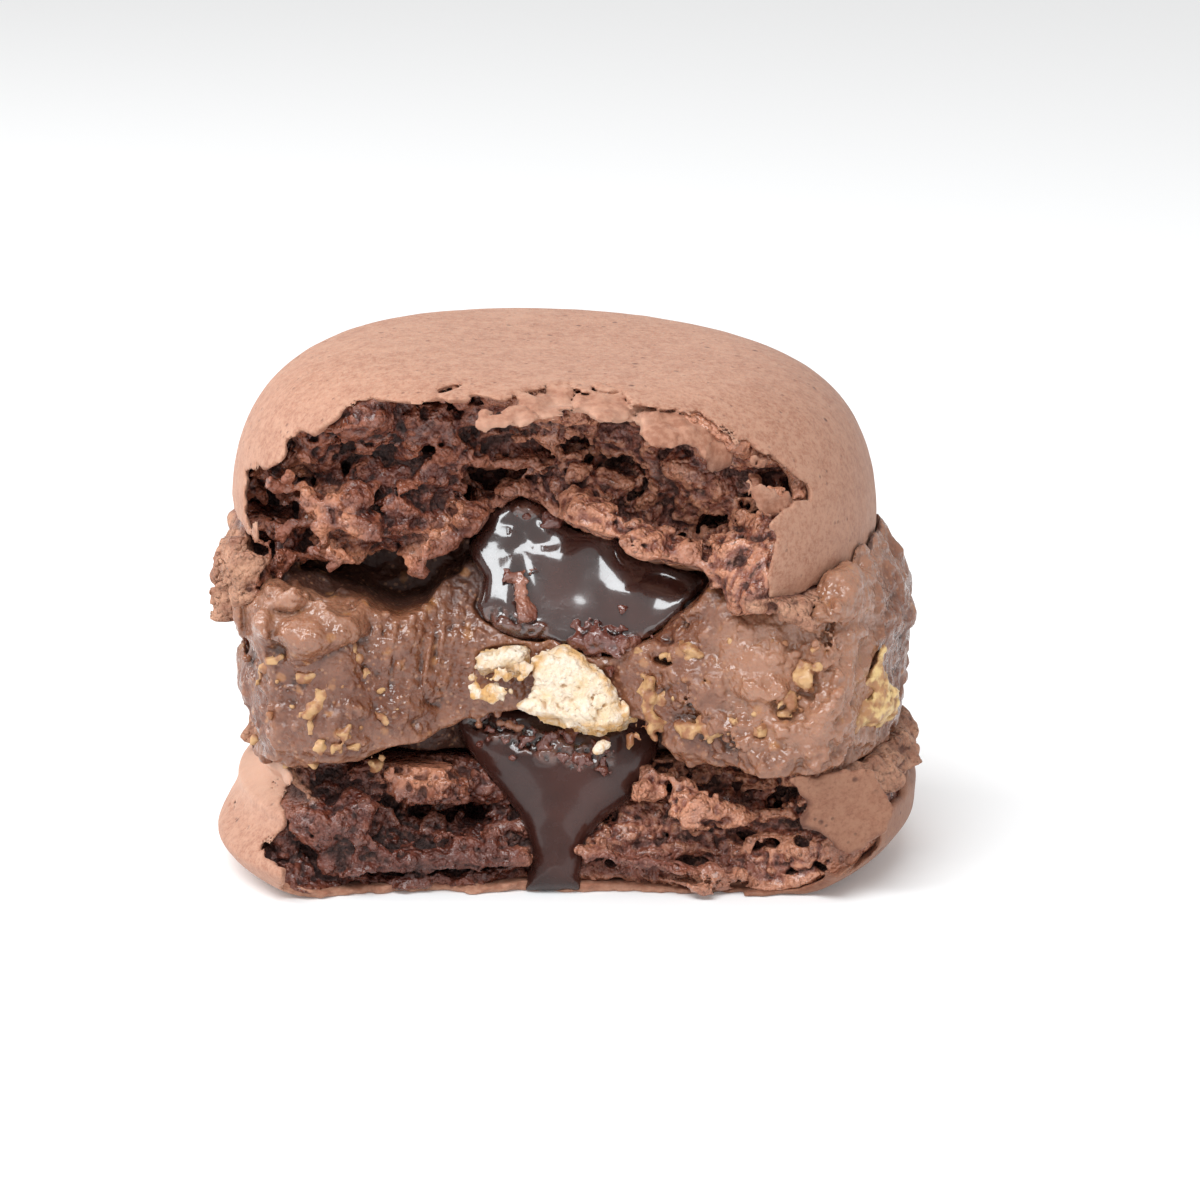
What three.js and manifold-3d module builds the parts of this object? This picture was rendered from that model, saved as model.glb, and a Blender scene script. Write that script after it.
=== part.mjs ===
// A bitten fat chocolate macaron: a domed top shell, a thick ring of chocolate buttercream with
// biscuit pieces in it, a soft ganache core that runs down over the bite, and a bottom shell.
// Millimetres, +Z up. The origin is the middle of the flat spot the bottom shell rests on.
// The bite was taken out of the -Y side, so that is the front.
import * as THREE from "three";
import { mergeVertices } from "three/addons/utils/BufferGeometryUtils.js";
import Module from "manifold-3d";

const wasm = await Module();
wasm.setup();

// ---- sizes -----------------------------------------------------------------------------------
const SEGMENTS = 41; // steps round each round body
const GAP = 0.3; // air between pieces that touch
const CELL = 1.7; // step of the bitten faces

const BASE_R = 25.2; // bottom shell, widest
const BASE_REST_R = 20.4; // its flat resting spot
const BASE_H = 10.2; // its height at the rim
const FILL_R = 25.1; // buttercream ring, widest
const TOP_R = 23.6; // smooth dome of the top shell, widest
const TOP_AT = [-1.2, 0.0, 24.75]; // where its dome meets its foot
const TOP_RISE = 13.7; // from there to its crown
const TOP_WIDE = 1.6; // height of its widest ring over the foot
const TOP_ROLL = THREE.MathUtils.degToRad(2.5); // its right side sits lower
const TOP_PITCH = THREE.MathUtils.degToRad(1.5); // and its front sits lower
const FOOT_DROP = 3.7; // how far its foot reaches below the dome
const UNDER_RISE = 5.4; // its underside is hollow by this much over the ganache core

const CORE_AT = [0.8, -1.2]; // axis of the ganache core
const CORE_R = 7.6;

// ---- small helpers ---------------------------------------------------------------------------
const clamp = (t, a = 0, b = 1) => Math.min(b, Math.max(a, t));
const smooth = (a, b, t) => {
  const k = clamp((t - a) / (b - a));
  return k * k * (3 - 2 * k);
};
const bump = (x, z, x0, z0, sx, sz) =>
  Math.exp(-(((x - x0) / sx) ** 2) - ((z - z0) / sz) ** 2);
// A smooth, lumpy field of about the given wavelength, between -1 and 1.
const lumps = (x, y, z, size, seed = 0) => {
  const k = (2 * Math.PI) / size;
  return (
    (Math.sin(k * (x + 0.31 * y) + 1.7 + seed) * Math.sin(k * (z - 0.4 * x) + 0.6 + 2.1 * seed) +
      Math.sin(k * (0.83 * y + 0.5 * z) + 2.9 - seed) * Math.sin(k * (0.9 * x + 0.3 * y) + 0.2 + seed) +
      0.6 * Math.sin(1.9 * k * (x - 0.2 * z) + 4.0 + seed) * Math.sin(1.7 * k * (z + 0.3 * y) + 1.1)) /
    2.1
  );
};
// Straight lines between the points of a table [[x, value], ...], eased at each.
const table = (points, x) => {
  if (x <= points[0][0]) return points[0][1];
  for (let i = 1; i < points.length; i++)
    if (x <= points[i][0]) {
      const [x0, v0] = points[i - 1],
        [x1, v1] = points[i];
      return v0 + (v1 - v0) * smooth(x0, x1, x);
    }
  return points[points.length - 1][1];
};

// A geometry as a manifold solid, and back.
const solid = (geometry) => {
  const bare = geometry.clone();
  bare.deleteAttribute("normal");
  bare.deleteAttribute("uv");
  const merged = mergeVertices(bare, 1e-4);
  return new wasm.Manifold(
    new wasm.Mesh({
      numProp: 3,
      vertProperties: new Float32Array(merged.attributes.position.array),
      triVerts: new Uint32Array(merged.index.array),
    }),
  );
};
const geometryOf = (manifold) => {
  const mesh = manifold.getMesh();
  const g = new THREE.BufferGeometry();
  g.setAttribute("position", new THREE.BufferAttribute(new Float32Array(mesh.vertProperties), 3));
  g.setIndex(new THREE.BufferAttribute(new Uint32Array(mesh.triVerts), 1));
  g.computeVertexNormals();
  return g;
};
// Moves each vertex of a geometry by a function of its place.
const moved = (geometry, change) => {
  const p = geometry.attributes.position;
  const v = new THREE.Vector3();
  for (let i = 0; i < p.count; i++) {
    v.fromBufferAttribute(p, i);
    change(v);
    p.setXYZ(i, v.x, v.y, v.z);
  }
  return geometry;
};
// The largest of the bodies that a cut leaves.
const largest = (manifold) =>
  manifold.decompose().sort((a, b) => b.volume() - a.volume())[0];

// A body turned round Z from a profile of [radius, height] points, from the axis below to the axis above.
const turned = (profile, change, segments = SEGMENTS) => {
  const lathe = new THREE.LatheGeometry(
    profile.map(([r, z]) => new THREE.Vector2(r, z)),
    segments,
  );
  lathe.rotateX(Math.PI / 2); // the lathe's own axis is Y
  return moved(lathe, (v) => change(v, Math.hypot(v.x, v.y), Math.atan2(v.y, v.x)));
};

// ---- the top shell ---------------------------------------------------------------------------
const topProfile = (grow) => {
  const points = [
    [0, -FOOT_DROP + UNDER_RISE - grow],
    [7.5, -FOOT_DROP + UNDER_RISE - 0.3 - grow],
    [11.5, -FOOT_DROP + UNDER_RISE - 2.0 - grow],
    [16, -FOOT_DROP + 1.9 - grow],
    [TOP_R - 4.2, -FOOT_DROP + 1.0 - grow],
    [TOP_R - 1.9, -FOOT_DROP - grow],
    [TOP_R + 0.1 + grow, -FOOT_DROP + 0.35 - grow],
    [TOP_R + 0.75 + grow, -FOOT_DROP + 1.5],
    [TOP_R + 0.6 + grow, -FOOT_DROP + 2.7],
    [TOP_R - 0.5 + grow, -0.35],
    [TOP_R - 0.15 + grow, 0.5],
    [TOP_R + grow, TOP_WIDE],
  ];
  const rise = TOP_RISE - TOP_WIDE;
  for (let i = 1; i <= 10; i++) {
    const a = (1 - (1 - i / 10) ** 1.7) * (Math.PI / 2); // closer steps towards the crown
    points.push([
      (TOP_R + grow) * Math.max(0, Math.cos(a)) ** 0.4,
      TOP_WIDE + (rise + grow) * Math.sin(a) ** 0.943,
    ]);
  }
  points[points.length - 1][0] = 0;
  return points;
};
const tilt = new THREE.Matrix4()
  .makeRotationY(TOP_ROLL)
  .premultiply(new THREE.Matrix4().makeRotationX(TOP_PITCH))
  .setPosition(...TOP_AT);
// How far the foot bulges and hangs at an angle: most on the left.
const footLeft = (angle) => Math.exp(-(((Math.abs(angle) - 3.05) / 0.42) ** 2));
const topBody = (grow = 0) =>
  turned(topProfile(grow), (v, r, angle) => {
    const isFoot = smooth(0.3, -1.0, v.z) * smooth(TOP_R - 6, TOP_R - 2, r);
    const round = 1 + 0.006 * Math.sin(2 * angle + 0.8) + 0.004 * Math.sin(3 * angle + 2.0);
    const ruffle =
      isFoot * (0.32 * Math.sin(17 * angle + 1.5 * Math.sin(5 * angle)) + 0.22 * Math.sin(29 * angle + 1));
    const out = r > 1e-6 ? (r * round + ruffle + isFoot * 1.1 * footLeft(angle)) / r : 1;
    v.x *= out;
    v.y *= out;
    v.z -= isFoot * (1.9 * footLeft(angle) + 0.25 * Math.sin(7 * angle));
    v.z += 0.16 * lumps(v.x, v.y, 0, 17, 0.4) * (1 - isFoot); // gentle swells on the dome
    v.applyMatrix4(tilt);
  });

// ---- the bottom shell ------------------------------------------------------------------------
const baseProfile = (grow) => {
  const corner = BASE_R - BASE_REST_R;
  const points = [
    [0, 0],
    [10, 0],
    [BASE_REST_R, 0],
  ];
  for (let i = 1; i <= 5; i++) {
    const a = (i / 5) * (Math.PI / 2);
    points.push([BASE_REST_R + (corner + grow) * Math.sin(a), 4.6 * (1 - Math.cos(a))]);
  }
  points.push(
    [BASE_R + 0.1 + grow, 6.2],
    [BASE_R - 0.55 + grow, 7.3],
    [BASE_R + 0.15 + grow, 8.1],
    [BASE_R + 0.1 + grow, 9.3],
    [BASE_R - 0.9 + grow, BASE_H + grow],
    [BASE_R - 4.5, BASE_H + grow - 0.2],
    [12, BASE_H + grow - 0.7],
    [0, BASE_H + grow - 0.9],
  );
  return points;
};
const baseBody = (grow = 0) =>
  turned(baseProfile(grow), (v, r, angle) => {
    const isFoot = smooth(7.0, 8.0, v.z) * smooth(BASE_R - 5, BASE_R - 2, r);
    const round = 1 + 0.005 * Math.sin(2 * angle + 2.2) + 0.004 * Math.sin(5 * angle + 0.5);
    const ruffle =
      isFoot * (0.3 * Math.sin(19 * angle + 1.2 * Math.sin(4 * angle)) + 0.2 * Math.sin(31 * angle + 2));
    const out = r > 1e-6 ? (r * round + ruffle) / r : 1;
    v.x *= out;
    v.y *= out;
  });

// ---- the buttercream ring --------------------------------------------------------------------
// On the right it swells up outside the top shell's foot.
const fillBody = () =>
  turned(
    [
      [0, 8.2],
      [14, 8.2],
      [FILL_R - 1.6, 8.6],
      [FILL_R - 0.7, 10.6],
      [FILL_R - 0.1, 12.6],
      [FILL_R, 15],
      [FILL_R - 0.1, 17.4],
      [FILL_R - 0.5, 19.8],
      [FILL_R - 1.4, 21.6],
      [FILL_R - 3.4, 23.4],
      [14, 24.6],
      [0, 24.6],
    ],
    (v, r, angle) => {
      const right = Math.exp(-((angle / 0.75) ** 2));
      const high = smooth(12, 21, v.z) * smooth(15, 22, r);
      const round =
        1 + 0.012 * Math.sin(2 * angle + 0.3) + 0.007 * Math.sin(5 * angle + 1.1) + 0.005 * Math.sin(9 * angle);
      const out = r > 1e-6 ? (r * round + (0.9 * right + 0.25 * lumps(v.x, v.y, v.z, 7)) * high) / r : 1;
      v.x *= out;
      v.y *= out;
      v.z += 2.3 * right * high;
    },
  );

// ---- the bite --------------------------------------------------------------------------------
// Each face is the depth Y at which the food begins, for a place (x, z) seen from the front.
const TOP_EDGE = [[-25, -3.5], [-23.2, -5.6], [-20, -10.2], [-16, -11.6], [-9, -12.8], [0, -12.0], [6, -12.7], [12, -13.8]];
const domeEdge = (x) => 22.6 + 14.6 * Math.max(0, 1 - Math.abs((x + 1.1) / 22.4) ** 3.4) ** 0.62 - 0.05 * x; // crust's height on the cut
const biteTop = (x, z) => {
  const crust = table(TOP_EDGE, x);
  const inside = Math.min(domeEdge(x) - z, 1.5 * (19.4 - 0.28 * (z - 23) - x), 1.2 * (x + 23.5));
  const depth = smooth(0.2, 3.0, inside) * (2.4 + 2.4 * bump(x, z, -1, 28, 10, 6));
  const wallRight = 22 * smooth(15.4, 21.5, x + 0.12 * (30 - z)) + 4.2 * smooth(11.5, 16.5, x + 0.25 * (30 - z));
  const hollow =
    1.9 * bump(x, z, -4.6, 29.3, 2.6, 1.7) + // the large dark hole in the crumb
    2.2 * bump(x, z, -19.5, 25.6, 2.2, 2.3) + // the cave behind the left edge
    1.6 * bump(x, z, -13.6, 30.0, 1.6, 2.0) +
    1.2 * bump(x, z, 11.2, 27.4, 2.2, 1.3);
  const rim = -1.5 * bump(x, z, -14, 25.1, 6.5, 1.1) - 1.2 * bump(x, z, 9, 24.2, 5.5, 1.4);
  const rough = 0.55 * lumps(x, 0, z, 4.3, 0.7) + 0.35 * lumps(x, 3, z, 2.7, 1.9);
  return crust + depth + hollow + rim - wallRight + rough * smooth(0.4, 2.2, inside);
};
const FILL_EDGE = [[-25.5, -2.5], [-23.5, -8.2], [-21, -12.2], [-17, -13.4], [-12.5, -12.0], [-8, -10.4], [-3, -10.6], [2, -11.2], [6, -12.2], [11, -13.8], [15, -15.6]];
const biteFill = (x, z) => {
  const sag = 1.1 * bump(x, z, -16, 12.5, 6, 3.2) + 1.2 * bump(x, z, 14, 12.0, 6, 3.5); // lips that bulge out low down
  const roof = 0.55 * Math.max(0, z - 18.5) ** 1.25 * (0.4 + 0.6 * bump(x, z, 0, 21, 10, 9)); // the upper edge leans back
  const under = 0.5 * Math.max(0, 11.8 - z) ** 1.2;
  const wallRight = 20 * smooth(16.5, 22.5, x);
  const rough = 0.3 * lumps(x, 1, z, 5.2, 2.3) + 0.22 * lumps(x, 0, z, 3.1, 0.2);
  return table(FILL_EDGE, x) - sag + roof + under - wallRight + rough;
};
const BASE_EDGE = [[-25.5, -8.5], [-22.5, -12.6], [-20, -12.9], [-15, -11.9], [-10, -11.4], [0, -11.4], [10, -11.5], [15, -12.2], [19, -13.6]];
const biteBase = (x, z) => {
  const lean = 0.36 * z * smooth(-24, -17, x) * smooth(22, 15, x); // the crumb slopes back as it rises
  const cave = 1.3 * bump(x, z, -19.2, 3.4, 1.6, 1.6) + 1.0 * bump(x, z, -7, 5.0, 4.0, 1.3);
  const wallRight = 16 * smooth(18.2, 24, x);
  const rough = 0.34 * lumps(x, 2, z, 3.7, 1.3) + 0.22 * lumps(x, 0, z, 2.6, 0.4);
  return table(BASE_EDGE, x) + lean + cave - wallRight + rough * smooth(0, 1.2, z);
};
// The air in front of a face, as a block whose far side follows it.
const airBefore = (face, zLow, zHigh) => {
  const width = 58,
    nx = Math.round(width / CELL),
    nz = Math.round((zHigh - zLow) / CELL);
  const block = new THREE.BoxGeometry(width, 2, zHigh - zLow, nx, 1, nz);
  block.translate(0, 0, (zLow + zHigh) / 2);
  return solid(moved(block, (v) => (v.y = v.y > 0 ? face(v.x, v.z) : -48)));
};

// ---- the ganache -----------------------------------------------------------------------------
// A soft core in the middle of the ring, a pool that leans out over the biscuit, and the tongue
// that runs down the bottom shell to the base. [share of the way down, half width, depth Y, height]
const TONGUE = [
  [0, 7.9, -8.3, 11.3],
  [0.18, 7.4, -8.9, 9.9],
  [0.4, 5.6, -9.7, 7.4],
  [0.58, 3.8, -10.5, 5.3],
  [0.74, 2.75, -11.2, 3.5],
  [0.88, 2.35, -11.75, 1.8],
  [1, 2.15, -12.2, 0],
];
const tongueAt = (t, i) => table(TONGUE.map((row) => [row[0], row[i]]), t);
const tongue = (grow) => {
  const strip = new THREE.BoxGeometry(2, 2, 1, 8, 2, 11);
  return solid(
    moved(strip, (v) => {
      const t = 0.5 - v.z; // 0 above, 1 at the base
      const a = (Math.PI / 2) * v.x; // across
      const half = tongueAt(t, 1) + grow,
        thick = 1.3 + 0.4 * (1 - t) + grow;
      const middle = -1.5 + 0.9 * (1 - t);
      v.set(
        middle + half * Math.sin(a),
        tongueAt(t, 2) + 0.7 + thick * v.y * (0.25 + 0.75 * Math.cos(a)),
        tongueAt(t, 3) + (t === 0 ? grow : 0) - (t === 1 ? grow : 0),
      );
    }),
  );
};
const core = (grow) =>
  solid(
    turned(
      [
        [0, 10.0 - grow],
        [6.6 + grow, 10.0 - grow],
        [CORE_R + grow, 11.6],
        [CORE_R + 0.4 + grow, 15],
        [CORE_R + grow, 18.5],
        [CORE_R - 0.5 + grow, 21.4],
        [CORE_R - 2.4 + grow, 23.4 + grow],
        [0, 23.9 + grow],
      ],
      (v, r, angle) => {
        v.x = v.x * 1.06 + CORE_AT[0];
        v.y += CORE_AT[1];
      },
      26,
    ),
  );
// The pool is a block under a face that leans back, in the outline of the visible pool.
const POOL_X = [-7.3, 10.1];
const poolFace = (x, z) => -11.9 + 0.66 * (z - 17.2) + 0.5 * bump(x, z, 1.2, 20, 3, 3) - 0.9 * bump(x, z, 5, 21, 4, 3) - 0.5 * bump(x, z, -4, 22, 2.5, 2.5);
const pool = (grow) => {
  const block = new THREE.SphereGeometry(1, 18, 10);
  return solid(
    moved(block, (v) => {
      const long = (POOL_X[1] - POOL_X[0]) / 2 + grow;
      v.set((POOL_X[0] + POOL_X[1]) / 2 + long * v.x, -4.6 + (7.6 + grow) * Math.sign(v.y) * Math.abs(v.y) ** 0.55, 21.9 + (4.7 + grow) * v.z - 0.9 * v.x);
    }),
  );
};

// ---- the biscuit pieces ----------------------------------------------------------------------
// Broken lumps: [name, centre, half sizes, turn about Y in degrees, seed]
const BISCUITS = [
  ["biscuit_large", [0.95, -10.7, 14.5], [3.75, 2.6, 2.7], -14, 0.4],
  ["biscuit_small", [-5.5, -10.3, 16.5], [1.9, 1.7, 1.5], 12, 1.7],
  ["biscuit_side", [21.5, -10.6, 14.3], [1.55, 1.4, 2.5], 20, 2.6],
];
const biscuit = ([, at, half, turn, seed], grow) => {
  const lump = new THREE.SphereGeometry(1, 12, 8);
  lump.rotateX(Math.PI / 2);
  const spin = new THREE.Matrix4().makeRotationY(THREE.MathUtils.degToRad(turn));
  return solid(
    moved(lump, (v) => {
      const q = v.clone();
      const boxy = 1 / Math.max(0.78, Math.hypot(q.x ** 2, q.y ** 2, q.z ** 2) ** 0.5); // squarer than a ball
      const rough = 1 + 0.1 * lumps(q.x * 3, q.y * 3, q.z * 3, 3.4, seed);
      v.set(q.x * (half[0] * boxy * rough + grow), q.y * (half[1] * boxy * rough + grow), q.z * (half[2] * boxy * rough + grow));
      v.applyMatrix4(spin);
      v.x += at[0];
      v.y += at[1];
      v.z += at[2];
    }),
  );
};

// ---- put together ----------------------------------------------------------------------------
const topWhole = solid(topBody(0));
const topGrown = solid(topBody(GAP));
const baseWhole = solid(baseBody(0));
const baseGrown = solid(baseBody(GAP));

// The gap between the two shells' soft insides at the left of the bite.
const cave = (() => {
  const ball = new THREE.SphereGeometry(1, 14, 7);
  return solid(moved(ball, (v) => v.set(-13.6 + 6.2 * v.x, -9.8 + 5.2 * v.y, 23.9 + 1.25 * v.z + 0.5 * v.x)));
})();
let ganache = core(0)
  .add(pool(0))
  .subtract(airBefore((x, z) => (z > 16.4 ? poolFace(x, z) : -7.4), 12.6, 30))
  .add(tongue(0));
const base = largest(baseWhole.subtract(airBefore(biteBase, -3, 14)).subtract(core(GAP)).subtract(tongue(GAP)));
ganache = largest(ganache.subtract(baseGrown.subtract(airBefore(biteBase, -3, 14)).subtract(tongue(0))));

const lumpsOfBiscuit = BISCUITS.map((b) => [b[0], biscuit(b, 0), biscuit(b, GAP)]);
let filling = solid(fillBody())
  .subtract(airBefore(biteFill, 5, 30))
  .subtract(cave)
  .subtract(topGrown)
  .subtract(baseGrown)
  .subtract(core(GAP))
  .subtract(pool(GAP))
  .subtract(tongue(GAP));
for (const [, , grown] of lumpsOfBiscuit) {
  filling = filling.subtract(grown);
  ganache = ganache.subtract(grown);
}
filling = largest(filling);
ganache = largest(ganache);
const top = largest(
  topWhole.subtract(airBefore(biteTop, 14, 44)).subtract(core(GAP)).subtract(pool(GAP)).subtract(cave),
);

const chocolateShell = { color: 0xc08f79, roughness: 0.85, metalness: 0 };
const part = new THREE.Group();
const put = (name, manifold, look) => {
  const mesh = new THREE.Mesh(geometryOf(manifold), new THREE.MeshStandardMaterial(look));
  mesh.name = name;
  part.add(mesh);
};
put("top_shell", top, chocolateShell);
put("bottom_shell", base, chocolateShell);
put("filling", filling, { color: 0x9c6f58, roughness: 0.5, metalness: 0 });
put("ganache", ganache, { color: 0x3b2422, roughness: 0.2, metalness: 0 });
for (const [name, lump] of lumpsOfBiscuit)
  put(name, lump, { color: 0xe8d3a6, roughness: 0.9, metalness: 0 });

export default part;
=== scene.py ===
"""A bitten fat chocolate macaron: the looks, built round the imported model.

Every piece is a solid described by a field on a fine grid, in millimetres: rounded outlines, bitten
faces, pores, cracks and crumbs are added to the field, and its zero surface becomes the mesh.
"""

import math
import time

import bpy
import numpy as np
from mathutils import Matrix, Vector

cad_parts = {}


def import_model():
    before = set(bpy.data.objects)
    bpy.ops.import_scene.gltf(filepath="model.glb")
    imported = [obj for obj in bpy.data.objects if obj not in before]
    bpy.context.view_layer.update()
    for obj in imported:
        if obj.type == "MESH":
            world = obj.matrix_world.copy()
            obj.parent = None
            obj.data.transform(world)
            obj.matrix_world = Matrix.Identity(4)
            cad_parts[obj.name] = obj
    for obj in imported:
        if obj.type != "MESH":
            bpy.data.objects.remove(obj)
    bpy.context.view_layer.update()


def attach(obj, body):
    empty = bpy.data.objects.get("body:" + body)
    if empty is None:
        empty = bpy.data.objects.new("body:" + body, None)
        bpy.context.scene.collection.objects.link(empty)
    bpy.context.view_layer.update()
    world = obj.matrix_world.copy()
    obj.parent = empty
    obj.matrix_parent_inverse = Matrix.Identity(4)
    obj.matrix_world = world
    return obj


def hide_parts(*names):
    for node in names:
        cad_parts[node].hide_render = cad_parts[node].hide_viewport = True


START = time.perf_counter()
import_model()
F = np.float32
MM = 0.001
FINE = 0.17  # step of the fine grids
CLOSE = 0.148  # step where granules show

# ---- the camera: it looks at the bite from 14 degrees above ------------------------------------
ELEVATION = math.radians(14)
DISTANCE = 350.0
AIM = np.array([2.3, 0.0, 19.0])
PIXELS = 13.5 * DISTANCE  # focal length in pixels of a 1200 pixel frame
EYE = AIM + DISTANCE * np.array([0, -math.cos(ELEVATION), math.sin(ELEVATION)])
AHEAD = np.array([0, math.cos(ELEVATION), -math.sin(ELEVATION)])
UP = np.array([0, math.sin(ELEVATION), math.cos(ELEVATION)])


def on_plane(px, py, y=-10.5):
    """The place (x, z) where the ray through a pixel of the photograph meets the plane of that y."""
    d = AHEAD + (px - 600) / PIXELS * np.array([1, 0, 0]) + (600 - py) / PIXELS * UP
    p = EYE + d * ((y - EYE[1]) / d[1])
    return float(p[0]), float(p[2])


# ---- fields ------------------------------------------------------------------------------------
LATTICE = 64
_tables = {}


def _table(seed):
    if seed not in _tables:
        _tables[seed] = (
            np.random.default_rng(7000 + seed).standard_normal((LATTICE,) * 3).astype(F)
        )
    return _tables[seed]


def _taps(a, size, offset):
    u = np.asarray(a, float) / size + offset
    i = np.floor(u).astype(int)
    t = u - i
    w = (
        (1 - t) ** 3 / 6,
        (3 * t**3 - 6 * t**2 + 4) / 6,
        (-3 * t**3 + 3 * t**2 + 3 * t + 1) / 6,
        t**3 / 6,
    )
    low = i.min()
    m = np.zeros((len(u), i.max() - low + 4), F)
    rows = np.arange(len(u))
    for k in range(4):
        m[rows, i - low + k] = w[k]
    return m, (np.arange(m.shape[1]) + low - 1) % LATTICE


def noise3(axes, size, seed):
    """Smooth noise of unit spread on a grid; size is one wavelength, or three."""
    sizes = (size,) * 3 if np.isscalar(size) else size
    (mx, ix), (my, iy), (mz, iz) = (
        _taps(a, s, 11.3 * (k + 1) + 3.7 * seed) for k, (a, s) in enumerate(zip(axes, sizes))
    )
    low = _table(seed)[np.ix_(ix, iy, iz)]
    a = np.matmul(my, low @ mz.T)
    return (mx @ a.reshape(len(ix), -1)).reshape(len(mx), len(my), len(mz)) * F(3.0)


def noise2(axes, size, seed):
    sizes = (size,) * 2 if np.isscalar(size) else size
    (mx, ix), (mz, iz) = (
        _taps(a, s, 5.1 * (k + 1) + 2.9 * seed) for k, (a, s) in enumerate(zip(axes, sizes))
    )
    return (mx @ _table(seed)[0][np.ix_(ix, iz)] @ mz.T) * F(2.08)


def smooth(a, b, t):
    k = np.clip((t - a) / (b - a), 0, 1)
    return k * k * (3 - 2 * k)


def bump2(x, z, x0, z0, sx, sz, turn=0.0):
    c, s = math.cos(turn), math.sin(turn)
    u, v = (x - x0) * c + (z - z0) * s, -(x - x0) * s + (z - z0) * c
    return np.exp(-((u / sx) ** 2) - (v / sz) ** 2)


def smin(a, b, k):
    h = np.clip(0.5 + 0.5 * (b - a) / k, 0, 1)
    return b + (a - b) * h - k * h * (1 - h)


def smax(a, b, k):
    return -smin(-a, -b, k)


def eased(points, x):
    """A smooth line through the points of a table [[x, value], ...]."""
    xs, vs = np.array([p[0] for p in points], float), np.array([p[1] for p in points], float)
    out = np.full(np.shape(x), vs[0], float)
    for i in range(1, len(xs)):
        out += (vs[i] - vs[i - 1]) * smooth(xs[i - 1], xs[i], x)
    return out


class Profile:
    """The signed distance from a turned body's outline, in a table over (radius, height)."""

    STEP = 0.1

    def __init__(self, points):
        p = np.array(points, float)
        self.r0, self.z0 = -1.0, p[:, 1].min() - 4
        rs = np.arange(self.r0, p[:, 0].max() + 5, self.STEP)
        zs = np.arange(self.z0, p[:, 1].max() + 4, self.STEP)
        r, z = np.meshgrid(rs, zs, indexing="ij")
        best = np.full(r.shape, 1e9)
        inside = np.zeros(r.shape, bool)
        loop = np.vstack([p, [[-60, p[-1, 1]], [-60, p[0, 1]]]])
        for i, (a, b) in enumerate(zip(loop, np.roll(loop, -1, 0))):
            d = b - a
            if i < len(p) - 1:
                t = np.clip(((r - a[0]) * d[0] + (z - a[1]) * d[1]) / max(d @ d, 1e-12), 0, 1)
                best = np.minimum(best, (r - a[0] - t * d[0]) ** 2 + (z - a[1] - t * d[1]) ** 2)
            crosses = ((a[1] > z) != (b[1] > z)) & (
                r < d[0] * (z - a[1]) / (d[1] if abs(d[1]) > 1e-12 else 1e-12) + a[0]
            )
            inside ^= crosses
        self.table = (np.sqrt(best) * np.where(inside, -1, 1)).astype(F)

    def __call__(self, r, z):
        n, m = self.table.shape
        u = np.clip((r - self.r0) / self.STEP, 0, n - 1.001)
        v = np.clip((z - self.z0) / self.STEP, 0, m - 1.001)
        i, j = u.astype(np.int32), v.astype(np.int32)
        u, v = (u - i).astype(F), (v - j).astype(F)
        t = self.table
        return (t[i, j] * (1 - u) + t[i + 1, j] * u) * (1 - v) + (
            t[i, j + 1] * (1 - u) + t[i + 1, j + 1] * u
        ) * v


def curve(points, steps=10):
    """A rounded line through points, for outlines."""
    p = np.array(points, float)
    p = np.vstack([2 * p[0] - p[1], p, 2 * p[-1] - p[-2]])
    out = []
    for i in range(1, len(p) - 2):
        for t in np.linspace(0, 1, steps, endpoint=False):
            a, b, c, d = p[i - 1], p[i], p[i + 1], p[i + 2]
            out.append(
                0.5 * (2 * b + (c - a) * t + (2 * a - 5 * b + 4 * c - d) * t**2 + (3 * b - a - 3 * c + d) * t**3)
            )
    out.append(p[-2])
    return [list(q) for q in out]


def spaced(low, high, fine_low, fine_high, fine, coarse):
    """Grid lines from low to high: fine steps inside the fine span, growing to coarse ones outside."""
    line = list(np.arange(fine_low, fine_high + fine * 0.5, fine))
    step = fine
    while line[-1] < high:
        step = min(coarse, step * 1.12)
        line.append(line[-1] + step)
    step = fine
    while line[0] > low:
        step = min(coarse, step * 1.12)
        line.insert(0, line[0] - step)
    return np.array(line)


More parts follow.
